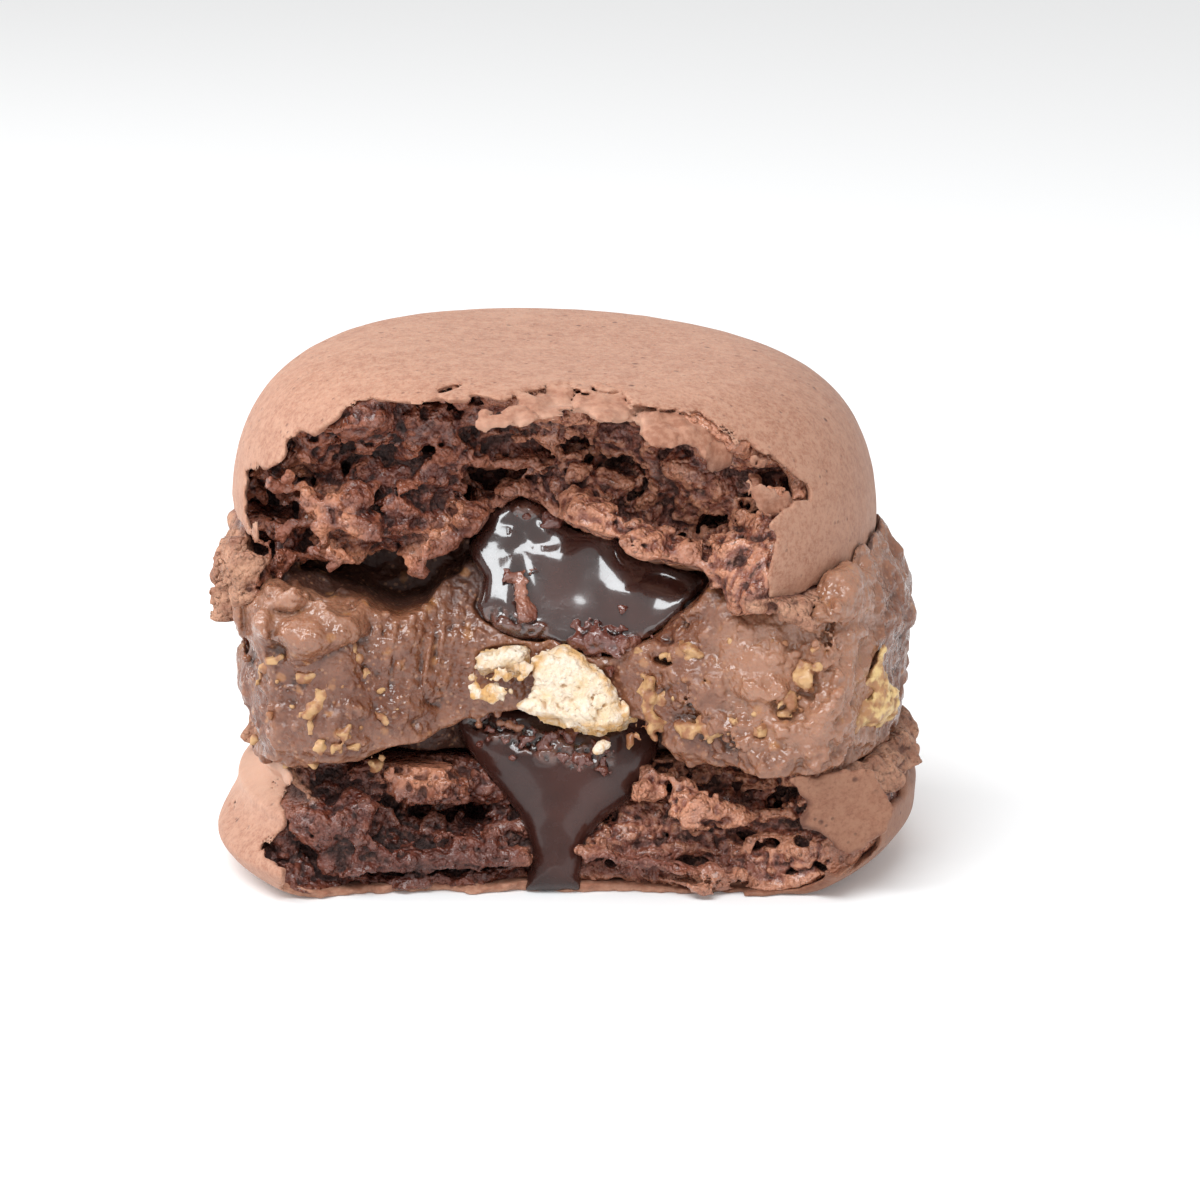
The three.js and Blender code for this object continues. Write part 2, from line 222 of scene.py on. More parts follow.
class Field:
    """A field on a grid, to which lumps are added and from which hollows are cut."""

    def __init__(self, ax, ay, az):
        self.axes = (np.array(ax), np.array(ay), np.array(az))
        self.x = self.axes[0][:, None, None].astype(F)
        self.y = self.axes[1][None, :, None].astype(F)
        self.z = self.axes[2][None, None, :].astype(F)
        self.f = None

    def noise(self, size, seed):
        return noise3(self.axes, size, seed)

    def flat(self, size, seed):
        """Noise over (x, z) only, the same at every depth."""
        return noise2((self.axes[0], self.axes[2]), size, seed)[:, None, :]

    def _block(self, centre, reach):
        cut = []
        for a, c, r in zip(self.axes, centre, reach):
            i, j = np.searchsorted(a, c - r), np.searchsorted(a, c + r)
            if i >= j:
                return None
            cut.append(slice(i, j))
        return tuple(cut)

    def stamp(self, centre, half, blend=0.2, cut=False, turn=None, wobble=None, into=None):
        """Adds an ellipsoid of those half sizes, or cuts it out, with a soft join of that width."""
        half = np.array((half,) * 3 if np.isscalar(half) else half, float)
        margin = blend + 0.35
        reach = (half if turn is None else np.full(3, half.max())) + margin
        block = self._block(centre, reach)
        if block is None:
            return
        x = self.x[block[0]] - F(centre[0])
        y = self.y[:, block[1]] - F(centre[1])
        z = self.z[:, :, block[2]] - F(centre[2])
        if turn is not None:
            x, y, z = (turn[0, i] * x + turn[1, i] * y + turn[2, i] * z for i in range(3))
        q = np.sqrt((x / half[0]) ** 2 + (y / half[1]) ** 2 + (z / half[2]) ** 2)
        d = (q - 1) * half.min()
        if wobble is not None:
            d = d + wobble[block]
        f = self.f if into is None else into
        f[block] = smax(f[block], -d, blend) if cut else smin(f[block], d, blend)

    def rod(self, points, radius, blend=0.3, cut=False, wobble=None):
        """Adds a round rod along points, or cuts it out; radius is one number or one for each point."""
        p = np.array(points, float)
        rad = np.full(len(p), radius) if np.isscalar(radius) else np.array(radius, float)
        reach = rad.max() + blend + 0.5
        block = self._block((p.min(0) + p.max(0)) / 2, (p.max(0) - p.min(0)) / 2 + reach)
        if block is None:
            return
        x, y, z = self.x[block[0]], self.y[:, block[1]], self.z[:, :, block[2]]
        best = None
        for a, b, ra, rb in zip(p[:-1], p[1:], rad[:-1], rad[1:]):
            d = b - a
            t = np.clip(((x - a[0]) * d[0] + (y - a[1]) * d[1] + (z - a[2]) * d[2]) / (d @ d), 0, 1)
            q = np.sqrt((x - a[0] - t * d[0]) ** 2 + (y - a[1] - t * d[1]) ** 2 + (z - a[2] - t * d[2]) ** 2)
            q = q - (ra + (rb - ra) * t)
            best = q if best is None else np.minimum(best, q)
        if wobble is not None:
            best = best + wobble[block]
        self.f[block] = smax(self.f[block], -best, blend) if cut else smin(self.f[block], best, blend)

    def at(self, points, values):
        """A grid's values at points, read between its lines."""
        index = [np.clip(np.interp(p, a, np.arange(len(a))), 0, len(a) - 1.001) for p, a in zip(points.T, self.axes)]
        i = [u.astype(np.int32) for u in index]
        t = [u - k for u, k in zip(index, i)]
        out = 0
        for a in (0, 1):
            for b in (0, 1):
                for c in (0, 1):
                    w = (t[0] if a else 1 - t[0]) * (t[1] if b else 1 - t[1]) * (t[2] if c else 1 - t[2])
                    out = out + w * values[i[0] + a, i[1] + b, i[2] + c]
        return out

    def fullness(self, reach):
        """How much of the space round each place is solid: 0.5 on a flat face, more in a hollow's corner."""
        v = np.clip(0.5 - self.f / 0.3, 0, 1).astype(F)
        for axis, line in enumerate(self.axes):
            total = np.concatenate(
                [np.zeros_like(np.take(v, [0], axis)), np.cumsum(v * self._width(axis), axis, dtype=np.float64)], axis
            )
            width = np.concatenate([[0], np.cumsum(np.gradient(line))])
            low = np.searchsorted(line, line - reach)
            high = np.minimum(np.searchsorted(line, line + reach), len(line))
            shape = [1, 1, 1]
            shape[axis] = -1
            v = (np.take(total, high, axis) - np.take(total, low, axis)) / (width[high] - width[low]).reshape(shape)
            v = v.astype(F)
        return v

    def _width(self, axis):
        shape = [1, 1, 1]
        shape[axis] = -1
        return np.gradient(self.axes[axis]).reshape(shape).astype(F)


CORNERS = np.array([(a, b, c) for a in (0, 1) for b in (0, 1) for c in (0, 1)])
EDGES = [(p, q) for p in range(8) for q in range(p + 1, 8) if np.abs(CORNERS[p] - CORNERS[q]).sum() == 1]


def surface(field, f=None):
    """The zero surface of a field as vertices and four-sided faces that look outwards."""
    f = field.f if f is None else f
    for axis in range(3):
        edge = [slice(None)] * 3
        for at in (0, -1):
            edge[axis] = at
            f[tuple(edge)] = np.maximum(f[tuple(edge)], 0.05)
    s = f < 0
    count = np.zeros([n - 1 for n in s.shape], np.uint8)
    for a, b, c in CORNERS:
        count += s[a : s.shape[0] - 1 + a, b : s.shape[1] - 1 + b, c : s.shape[2] - 1 + c]
    act = (count > 0) & (count < 8)
    i, j, k = np.nonzero(act)
    index = np.full(act.shape, -1, np.int32)
    index[act] = np.arange(len(i))
    g = np.stack([f[i + a, j + b, k + c] for a, b, c in CORNERS], 1)
    pos, n = np.zeros((len(i), 3)), np.zeros(len(i))
    for p, q in EDGES:
        m = (g[:, p] < 0) != (g[:, q] < 0)
        t = g[m, p] / (g[m, p] - g[m, q])
        pos[m] += CORNERS[p] + t[:, None] * (CORNERS[q] - CORNERS[p])
        n[m] += 1
    pos /= n[:, None]
    v = np.stack(
        [a[c] + pos[:, m] * (a[c + 1] - a[c]) for m, (a, c) in enumerate(zip(field.axes, (i, j, k)))], 1
    )
    quads = []
    for axis in range(3):
        u, w = [(1, 2), (2, 0), (0, 1)][axis]
        low, high = [slice(1, -1)] * 3, [slice(1, -1)] * 3
        low[axis], high[axis] = slice(0, -1), slice(1, None)
        cells = np.array(np.nonzero(s[tuple(low)] != s[tuple(high)]))
        cells[u] += 1
        cells[w] += 1
        corners = []
        for du, dw in ((-1, -1), (0, -1), (0, 0), (-1, 0)):
            c = cells.copy()
            c[u] += du
            c[w] += dw
            corners.append(index[tuple(c)])
        q = np.stack(corners, 1)
        out = s[tuple(cells)]
        quads.append(np.where(out[:, None], q, q[:, ::-1]))
    return v, np.concatenate(quads)


def relax(v, quads, rounds, share=0.5, mask=None):
    """Evens a mesh out a little, without changing which vertices are joined."""
    a = quads.ravel()
    b = np.roll(quads, -1, 1).ravel()
    n = np.bincount(a, minlength=len(v)) + np.bincount(b, minlength=len(v))
    for _ in range(rounds):
        mean = np.stack(
            [
                np.bincount(a, v[b, c], len(v)) + np.bincount(b, v[a, c], len(v))
                for c in range(3)
            ],
            1,
        ) / np.maximum(n, 1)[:, None]
        step = share * (mean - v)
        v = v + (step if mask is None else step * mask[:, None])
    return v


def largest_only(v, quads, least=60):
    """Drops loose specks: parts of the mesh with fewer vertices than least."""
    label = np.arange(len(v))
    a, b = quads.ravel(), np.roll(quads, -1, 1).ravel()
    while True:
        low = np.minimum(label[a], label[b])
        new = label.copy()
        np.minimum.at(new, a, low)
        np.minimum.at(new, b, low)
        new = new[new]
        if (new == label).all():
            break
        label = new
    size = np.bincount(label, minlength=len(v))
    keep = size[label] >= least
    where = np.cumsum(keep) - 1
    return v[keep], where[quads[keep[quads[:, 0]]]], keep


def mesh_piece(name, v, quads, attributes=None, material=None, node=None, most=190000):
    """A Blender object from vertices in millimetres and faces of four corners (or three)."""
    m = bpy.data.meshes.new(name)
    n = quads.shape[1]
    m.vertices.add(len(v))
    m.vertices.foreach_set("co", (v * MM).astype(F).ravel())
    m.loops.add(quads.size)
    m.loops.foreach_set("vertex_index", quads.astype(np.int32).ravel())
    m.polygons.add(len(quads))
    m.polygons.foreach_set("loop_start", np.arange(0, quads.size, n, dtype=np.int32))
    m.polygons.foreach_set("loop_total", np.full(len(quads), n, np.int32))
    m.update(calc_edges=True)
    m.validate()
    m.shade_smooth()
    for key, values in (attributes or {}).items():
        m.attributes.new(key, "FLOAT", "POINT").data.foreach_set("value", np.asarray(values, F))
    o = bpy.data.objects.new(name, m)
    bpy.context.scene.collection.objects.link(o)
    if material:
        m.materials.append(material)
    if len(quads) * (n - 2) > most:
        thin = o.modifiers.new("thin", "DECIMATE")
        thin.ratio = most / (len(quads) * (n - 2))
        view = bpy.context.evaluated_depsgraph_get()
        new = bpy.data.meshes.new_from_object(o.evaluated_get(view), preserve_all_data_layers=True, depsgraph=view)
        o.modifiers.clear()
        o.data = new
        new.name = name
        m = new
        m.shade_smooth()
    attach(o, "root")
    if node:
        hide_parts(node)
    print(f"PIECE {name}: {len(m.vertices)} vertices, {sum(len(f.vertices) - 2 for f in m.polygons)} triangles, {time.perf_counter() - START:.0f} s")
    return o


# ---- outlines drawn over the photograph's frame -------------------------------------------------
class Outline:
    """The signed distance in millimetres from an outline in the photograph's pixels, negative inside."""

    def __init__(self, points, margin=80, step=1.0):
        p = np.array(points, float)
        self.u0, self.v0 = p.min(0) - margin
        self.step = step
        u, v = np.meshgrid(
            np.arange(self.u0, p[:, 0].max() + margin, step),
            np.arange(self.v0, p[:, 1].max() + margin, step),
            indexing="ij",
        )
        best = np.full(u.shape, 1e12)
        inside = np.zeros(u.shape, bool)
        for a, b in zip(p, np.roll(p, -1, 0)):
            d = b - a
            t = np.clip(((u - a[0]) * d[0] + (v - a[1]) * d[1]) / max(d @ d, 1e-9), 0, 1)
            best = np.minimum(best, (u - a[0] - t * d[0]) ** 2 + (v - a[1] - t * d[1]) ** 2)
            if abs(d[1]) > 1e-9:
                inside ^= ((a[1] > v) != (b[1] > v)) & (u < d[0] * (v - a[1]) / d[1] + a[0])
        self.table = (np.sqrt(best) * np.where(inside, -1, 1) / 13.5).astype(F)

    def __call__(self, u, v):
        n, m = self.table.shape
        u = np.clip((u - self.u0) / self.step, 0, n - 1.001)
        v = np.clip((v - self.v0) / self.step, 0, m - 1.001)
        i, j = u.astype(np.int32), v.astype(np.int32)
        u, v = (u - i).astype(F), (v - j).astype(F)
        t = self.table
        return (t[i, j] * (1 - u) + t[i + 1, j] * u) * (1 - v) + (
            t[i, j + 1] * (1 - u) + t[i + 1, j + 1] * u
        ) * v


def seen_at(x, y, z):
    """The photograph's pixel at which each place is seen."""
    ahead = (y - EYE[1]) * AHEAD[1] + (z - EYE[2]) * AHEAD[2]
    u = 600 + PIXELS * (x - EYE[0]) / ahead
    v = 600 - PIXELS * ((y - EYE[1]) * UP[1] + (z - EYE[2]) * UP[2]) / ahead
    return u.astype(F), v.astype(F)


_spots = {}


def grainy(g, f, size, seed, reach=0.9, warp=0.0, creases=False, where=None):
    """Rounded grains with creases between them: high at each grain's middle. Only worked out near the surface of f."""
    if seed not in _spots:
        _spots[seed] = np.random.default_rng(9000 + seed).random((32, 32, 32, 3)).astype(F)
    spots = _spots[seed]
    out = np.zeros(f.shape, F)
    lines = np.full(f.shape, 1.0, F) if creases else None
    i, j, k = np.nonzero(np.abs(f) < reach if where is None else (np.abs(f) < reach) & (where > 0.02))
    sizes = np.array((size,) * 3 if np.isscalar(size) else size, float)
    p = np.stack([g.axes[0][i], g.axes[1][j], g.axes[2][k]], 1) / sizes
    if warp:
        for c in range(3):
            p[:, c] += warp * g.noise(tuple(sizes * 1.1), 400 + 3 * seed + c)[i, j, k]
    for part in range(0, len(p), 400000):
        q = p[part : part + 400000].astype(F)
        cell = np.floor(q).astype(np.int32)
        rest = q - cell
        best = np.full(len(q), 9.0, F)
        second = best.copy()
        for a in (-1, 0, 1):
            for b in (-1, 0, 1):
                for c in (-1, 0, 1):
                    s = spots[(cell[:, 0] + a) & 31, (cell[:, 1] + b) & 31, (cell[:, 2] + c) & 31]
                    d = (s[:, 0] + a - rest[:, 0]) ** 2 + (s[:, 1] + b - rest[:, 1]) ** 2 + (s[:, 2] + c - rest[:, 2]) ** 2
                    if creases:
                        second = np.minimum(second, np.maximum(best, d))
                    best = np.minimum(best, d)
        t = slice(part, part + 400000)
        out[i[t], j[t], k[t]] = 0.55 - np.sqrt(best)
        if creases:
            lines[i[t], j[t], k[t]] = np.sqrt(second) - np.sqrt(best)
    return (out, lines) if creases else out


def on_face(px, py, face, ahead=0.0):
    """The place on a bitten face that is seen at a pixel of the photograph."""
    y = -10.0
    for _ in range(8):
        x, z = on_plane(px, py, y)
        y = float(face(np.array(x), np.array(z))) - ahead
    return x, y, z


def flow(points, at):
    """A rounded line through the points of a table [[place, value], ...]."""
    dense = np.array(curve(points, 16))
    return np.interp(at, dense[:, 0], dense[:, 1])


def billow(n):
    """Rounded lumps with sharp creases between them, from smooth noise."""
    return np.abs(n)


# ---- sizes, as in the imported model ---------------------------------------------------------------
BASE_R, BASE_REST_R, BASE_H = 25.2, 20.4, 10.2
FILL_R = 25.1
TOP_R, TOP_AT, TOP_RISE, TOP_WIDE = 23.6, (-1.2, 0.0, 24.75), 13.7, 1.6
TOP_ROLL, TOP_PITCH = math.radians(2.5), math.radians(1.5)
FOOT_DROP, UNDER_RISE = 3.7, 5.4
CORE_AT, CORE_R = (0.8, -1.2), 7.6
SKIN = 0.55  # thickness of the crust


def top_outline():
    p = [
        (0, -FOOT_DROP + UNDER_RISE),
        (7.5, -FOOT_DROP + UNDER_RISE - 0.3),
        (11.5, -FOOT_DROP + UNDER_RISE - 2.0),
        (16, -FOOT_DROP + 1.9),
        (TOP_R - 4.2, -FOOT_DROP + 1.0),
        (TOP_R - 1.9, -FOOT_DROP),
        (TOP_R + 0.1, -FOOT_DROP + 0.35),
        (TOP_R + 0.75, -FOOT_DROP + 1.5),
        (TOP_R + 0.6, -FOOT_DROP + 2.7),
        (TOP_R - 0.5, -0.35),
        (TOP_R - 0.15, 0.5),
        (TOP_R, TOP_WIDE),
    ]
    rise = TOP_RISE - TOP_WIDE
    for t in np.linspace(0, 1, 60)[1:]:
        a = (1 - (1 - t) ** 2.4) * math.pi / 2
        p.append((TOP_R * max(0, math.cos(a)) ** 0.4, TOP_WIDE + rise * math.sin(a) ** 0.943))
    return p[:-1] + [(0.0, TOP_RISE)]


def base_outline():
    p = [(0, 0), (10, 0), (BASE_REST_R, 0)]
    for a in np.linspace(0, math.pi / 2, 12)[1:]:
        p.append((BASE_REST_R + (BASE_R - BASE_REST_R) * math.sin(a), 4.6 * (1 - math.cos(a))))
    return p + [
        (BASE_R + 0.1, 6.2),
        (BASE_R - 0.55, 7.3),
        (BASE_R + 0.15, 8.1),
        (BASE_R + 0.1, 9.3),
        (BASE_R - 0.9, BASE_H),
        (BASE_R - 4.5, BASE_H - 0.2),
        (12, BASE_H - 0.7),
        (0, BASE_H - 0.9),
    ]


def fill_outline():
    return curve(
        [
            (0, 8.2),
            (14, 8.2),
            (FILL_R - 1.6, 8.6),
            (FILL_R - 0.7, 10.6),
            (FILL_R - 0.1, 12.6),
            (FILL_R, 15),
            (FILL_R - 0.1, 17.4),
            (FILL_R - 0.5, 19.8),
            (FILL_R - 1.4, 21.6),
            (FILL_R - 3.4, 23.4),
            (14, 24.6),
            (0, 24.6),
        ],
        4,
    )


TOP_SHAPE, BASE_SHAPE, FILL_SHAPE = Profile(top_outline()), Profile(base_outline()), Profile(fill_outline())


def top_place(x, y, z):
    """Radius, height and angle in the top shell's own tilted frame."""
    x, y, z = x - TOP_AT[0], y - TOP_AT[1], z - TOP_AT[2]
    cr, sr, cp, sp = math.cos(TOP_ROLL), math.sin(TOP_ROLL), math.cos(TOP_PITCH), math.sin(TOP_PITCH)
    y, z = y * cp + z * sp, -y * sp + z * cp
    x, z = x * cr - z * sr, x * sr + z * cr
    return np.hypot(x, y).astype(F), z.astype(F), np.arctan2(y, x).astype(F)


def foot_left(angle):
    return np.exp(-(((np.abs(angle) - 3.05) / 0.42) ** 2))


def top_distance(x, y, z):
    """Distance from the whole top shell's surface, and how much of a place belongs to its foot."""
    r, h, angle = top_place(x, y, z)
    foot = smooth(0.3, -1.0, h) * smooth(TOP_R - 6, TOP_R - 2, r)
    left = foot_left(angle)
    swell = 1 + 0.006 * np.sin(2 * angle + 0.8) + 0.004 * np.sin(3 * angle + 2.0)
    ruffle = 0.25 * np.sin(17 * angle + 1.5 * np.sin(5 * angle)) + 0.15 * np.sin(29 * angle + 1)
    r = (r - foot * (ruffle + 0.25 * left)) / swell
    h = h + foot * (1.8 * left + 0.25 * np.sin(7 * angle))
    return TOP_SHAPE(r, h), foot, h


TOP_EDGE = [[-25, -3.5], [-23.2, -5.6], [-20, -10.2], [-16, -11.6], [-9, -12.8], [0, -12.0], [6, -12.7], [12, -13.8]]


def bite_top(x, z):
    """How far back the crumb of the top shell begins, seen from the front."""
    dome = 22.6 + 14.6 * np.maximum(0, 1 - np.abs((x + 1.1) / 22.4) ** 3.4) ** 0.62 - 0.05 * x
    inside = np.minimum(np.minimum(dome - z, 1.5 * (19.4 - 0.28 * (z - 23) - x)), 1.2 * (x + 23.5))
    depth = smooth(0.2, 3.0, inside) * (2.4 + 2.4 * bump2(x, z, -1, 28, 10, 6))
    wall = 22 * smooth(15.4, 21.5, x + 0.12 * (30 - z)) + 4.2 * smooth(11.5, 16.5, x + 0.25 * (30 - z))
    return eased(TOP_EDGE, x) + depth - wall


# In front, the top shell's crumb ends this high over the cave, the pool and the cream.
TOP_FLOOR = [[-27, 19.0], [-24.5, 19.5], [-23.2, 21.0], [-21.5, 23.0], [-19.5, 24.2], [-16, 24.5], [-12, 24.7], [-10, 25.2], [-8.3, 26.2], [-6.6, 27.6], [-5, 28.2], [-3, 27.9], [-1.5, 26.9], [2, 26.7], [3.5, 25.6], [6, 25.0], [8.2, 24.6], [10.3, 24.2], [12, 23.0], [14.5, 22.4], [18, 22.2], [20, 21.5], [25, 19.5]]
FILL_CEILING = [[-26, 26], [-24.4, 23.4], [-22.5, 23.6], [-20.5, 24.2], [-18.5, 23.4], [-16.8, 22.5], [-15, 21.7], [-12.3, 21.0], [-10.5, 21.7], [-8.8, 22.6], [-6.8, 23.4], [-5, 26], [25, 27]]


def before(g, face):
    """Distance from a bitten face, positive in the air in front of it."""
    dx, dz = np.gradient(face, g.axes[0], g.axes[2])
    steep = np.sqrt(1 + np.clip(dx**2 + dz**2, 0, 40))
    return ((face[:, None, :] - g.y) / steep[:, None, :]).astype(F)


def fronts(g):
    """The index along y of the first solid place in each column, seen from the front."""
    solid = g.f < 0
    first = np.argmax(solid, axis=1)
    return np.where(solid.any(axis=1), first, -1)


def grains(g, seed, count, x_span, z_span, sizes, blend=0.07, out=0.0, cut=False, flat=1.0, keep=None):
    """Sets small grains on the face that shows in front, or cuts pits in it."""
    rng = np.random.default_rng(seed)
    first = fronts(g)
    xs, ys, zs = g.axes
    for _ in range(count):
        x, z = rng.uniform(*x_span), rng.uniform(*z_span)
        share, stretch = rng.random(), rng.uniform(0.75, 1.35, 3)
        i, k = np.searchsorted(xs, x), np.searchsorted(zs, z)
        if not (0 < i < len(xs) and 0 < k < len(zs)) or first[i, k] < 0 or ys[first[i, k]] > -3:
            continue
        if keep is not None and not keep(x, z):
            continue
        r = sizes[0] * (sizes[1] / sizes[0]) ** (share**2.2)
        g.stamp((x, ys[first[i, k]] + out * r, z), (r * stretch[0] * flat, r * stretch[1], r * stretch[2]), blend, cut)


FILL_EDGE = [[-25.5, -2.5], [-23.5, -8.2], [-21, -12.2], [-17, -13.4], [-12.5, -12.0], [-8, -10.4], [-3, -10.6], [2, -11.2], [6, -12.2], [11, -13.8], [15, -15.6]]
BASE_EDGE = [[-25.5, -8.5], [-22.5, -12.6], [-20, -12.9], [-15, -11.9], [-10, -11.4], [0, -11.4], [10, -11.5], [15, -12.2], [19, -13.6]]

# The broken edge of the top shell's crust, as seen from the front.
CRUST_EDGE = [
    (257, 680), (257, 533), (249, 515), (244.5, 492), (246.7, 472), (258, 456), (268, 463), (285, 458), (290, 449), (301, 436),
    (317, 438), (328, 429), (341, 415), (342, 411), (360, 403), (371, 399.6), (382.5, 403), (403, 405), (419, 402),
    (438, 397), (450, 404), (464, 402), (480, 394), (498, 398.5), (516, 395), (532, 390.6), (552, 387), (572, 386),
    (589, 388), (611, 388.4), (623, 394.5), (626, 398), (633, 405), (650, 405.6), (668, 413), (687, 419), (699, 418),
    (712, 425), (725, 432), (736, 445), (751, 447), (771, 454.7), (785, 464.5), (798, 479), (805, 491.5), (803, 501),
    (785, 506), (773, 516), (768, 526), (772, 536), (771, 555), (769.6, 570), (767, 582), (768, 600), (768, 680),
]
# Pieces of crust that have sunk or curled inside the opening: outline, depth under the dome, tilt.
SUNKEN = [(516, 397), (534, 392), (572, 388), (611, 390), (624, 397), (640, 402), (652, 412), (640, 424), (614, 423), (587, 420), (562, 413), (540, 415), (505, 433), (488, 432), (483, 424), (505, 411)]
FLAKES = [
    ([(633, 410), (652, 411), (668, 418), (690, 424), (709, 431), (728, 438), (729, 455), (722, 470), (712, 466), (706, 450), (690, 446), (672, 452), (658, 444), (648, 430)], 1.15),
    ([(744, 457), (757, 455), (770, 459), (771, 468), (758, 472), (747, 467)], 0.9),
    ([(749, 482), (762, 484), (775, 494), (790, 498), (795, 505), (780, 512), (762, 508), (753, 494)], 0.7),
]


def crumbly(g, near, seed, flat=1.0, big=1.0, pit=1.0):
    """The texture of moist crumb: rounded lumps with crevices between them, made up of granules."""
    lumps = 0.7 * billow(g.noise((2.9, 2.9, 2.6 * flat), 300 + seed)) + 0.4 * billow(g.noise((1.3, 1.3, 1.2 * flat), 301 + seed)) - 0.5
    pits = 1.1 * smooth(0.9, 1.9, g.noise((2.8, 1.7, 1.3 * flat), 302 + seed)) + 0.5 * smooth(0.8, 1.6, g.noise((0.9, 0.8, 0.6), 303 + seed))
    g.f = g.f - near * (big * lumps - pit * pits)
    g.f = g.f - near * 0.55 * grainy(g, g.f, 0.95, seed, 0.9, 0.35, where=near)
    g.f = g.f - near * 0.34 * grainy(g, g.f, 0.5, seed + 1, 0.6, 0.3, where=near)


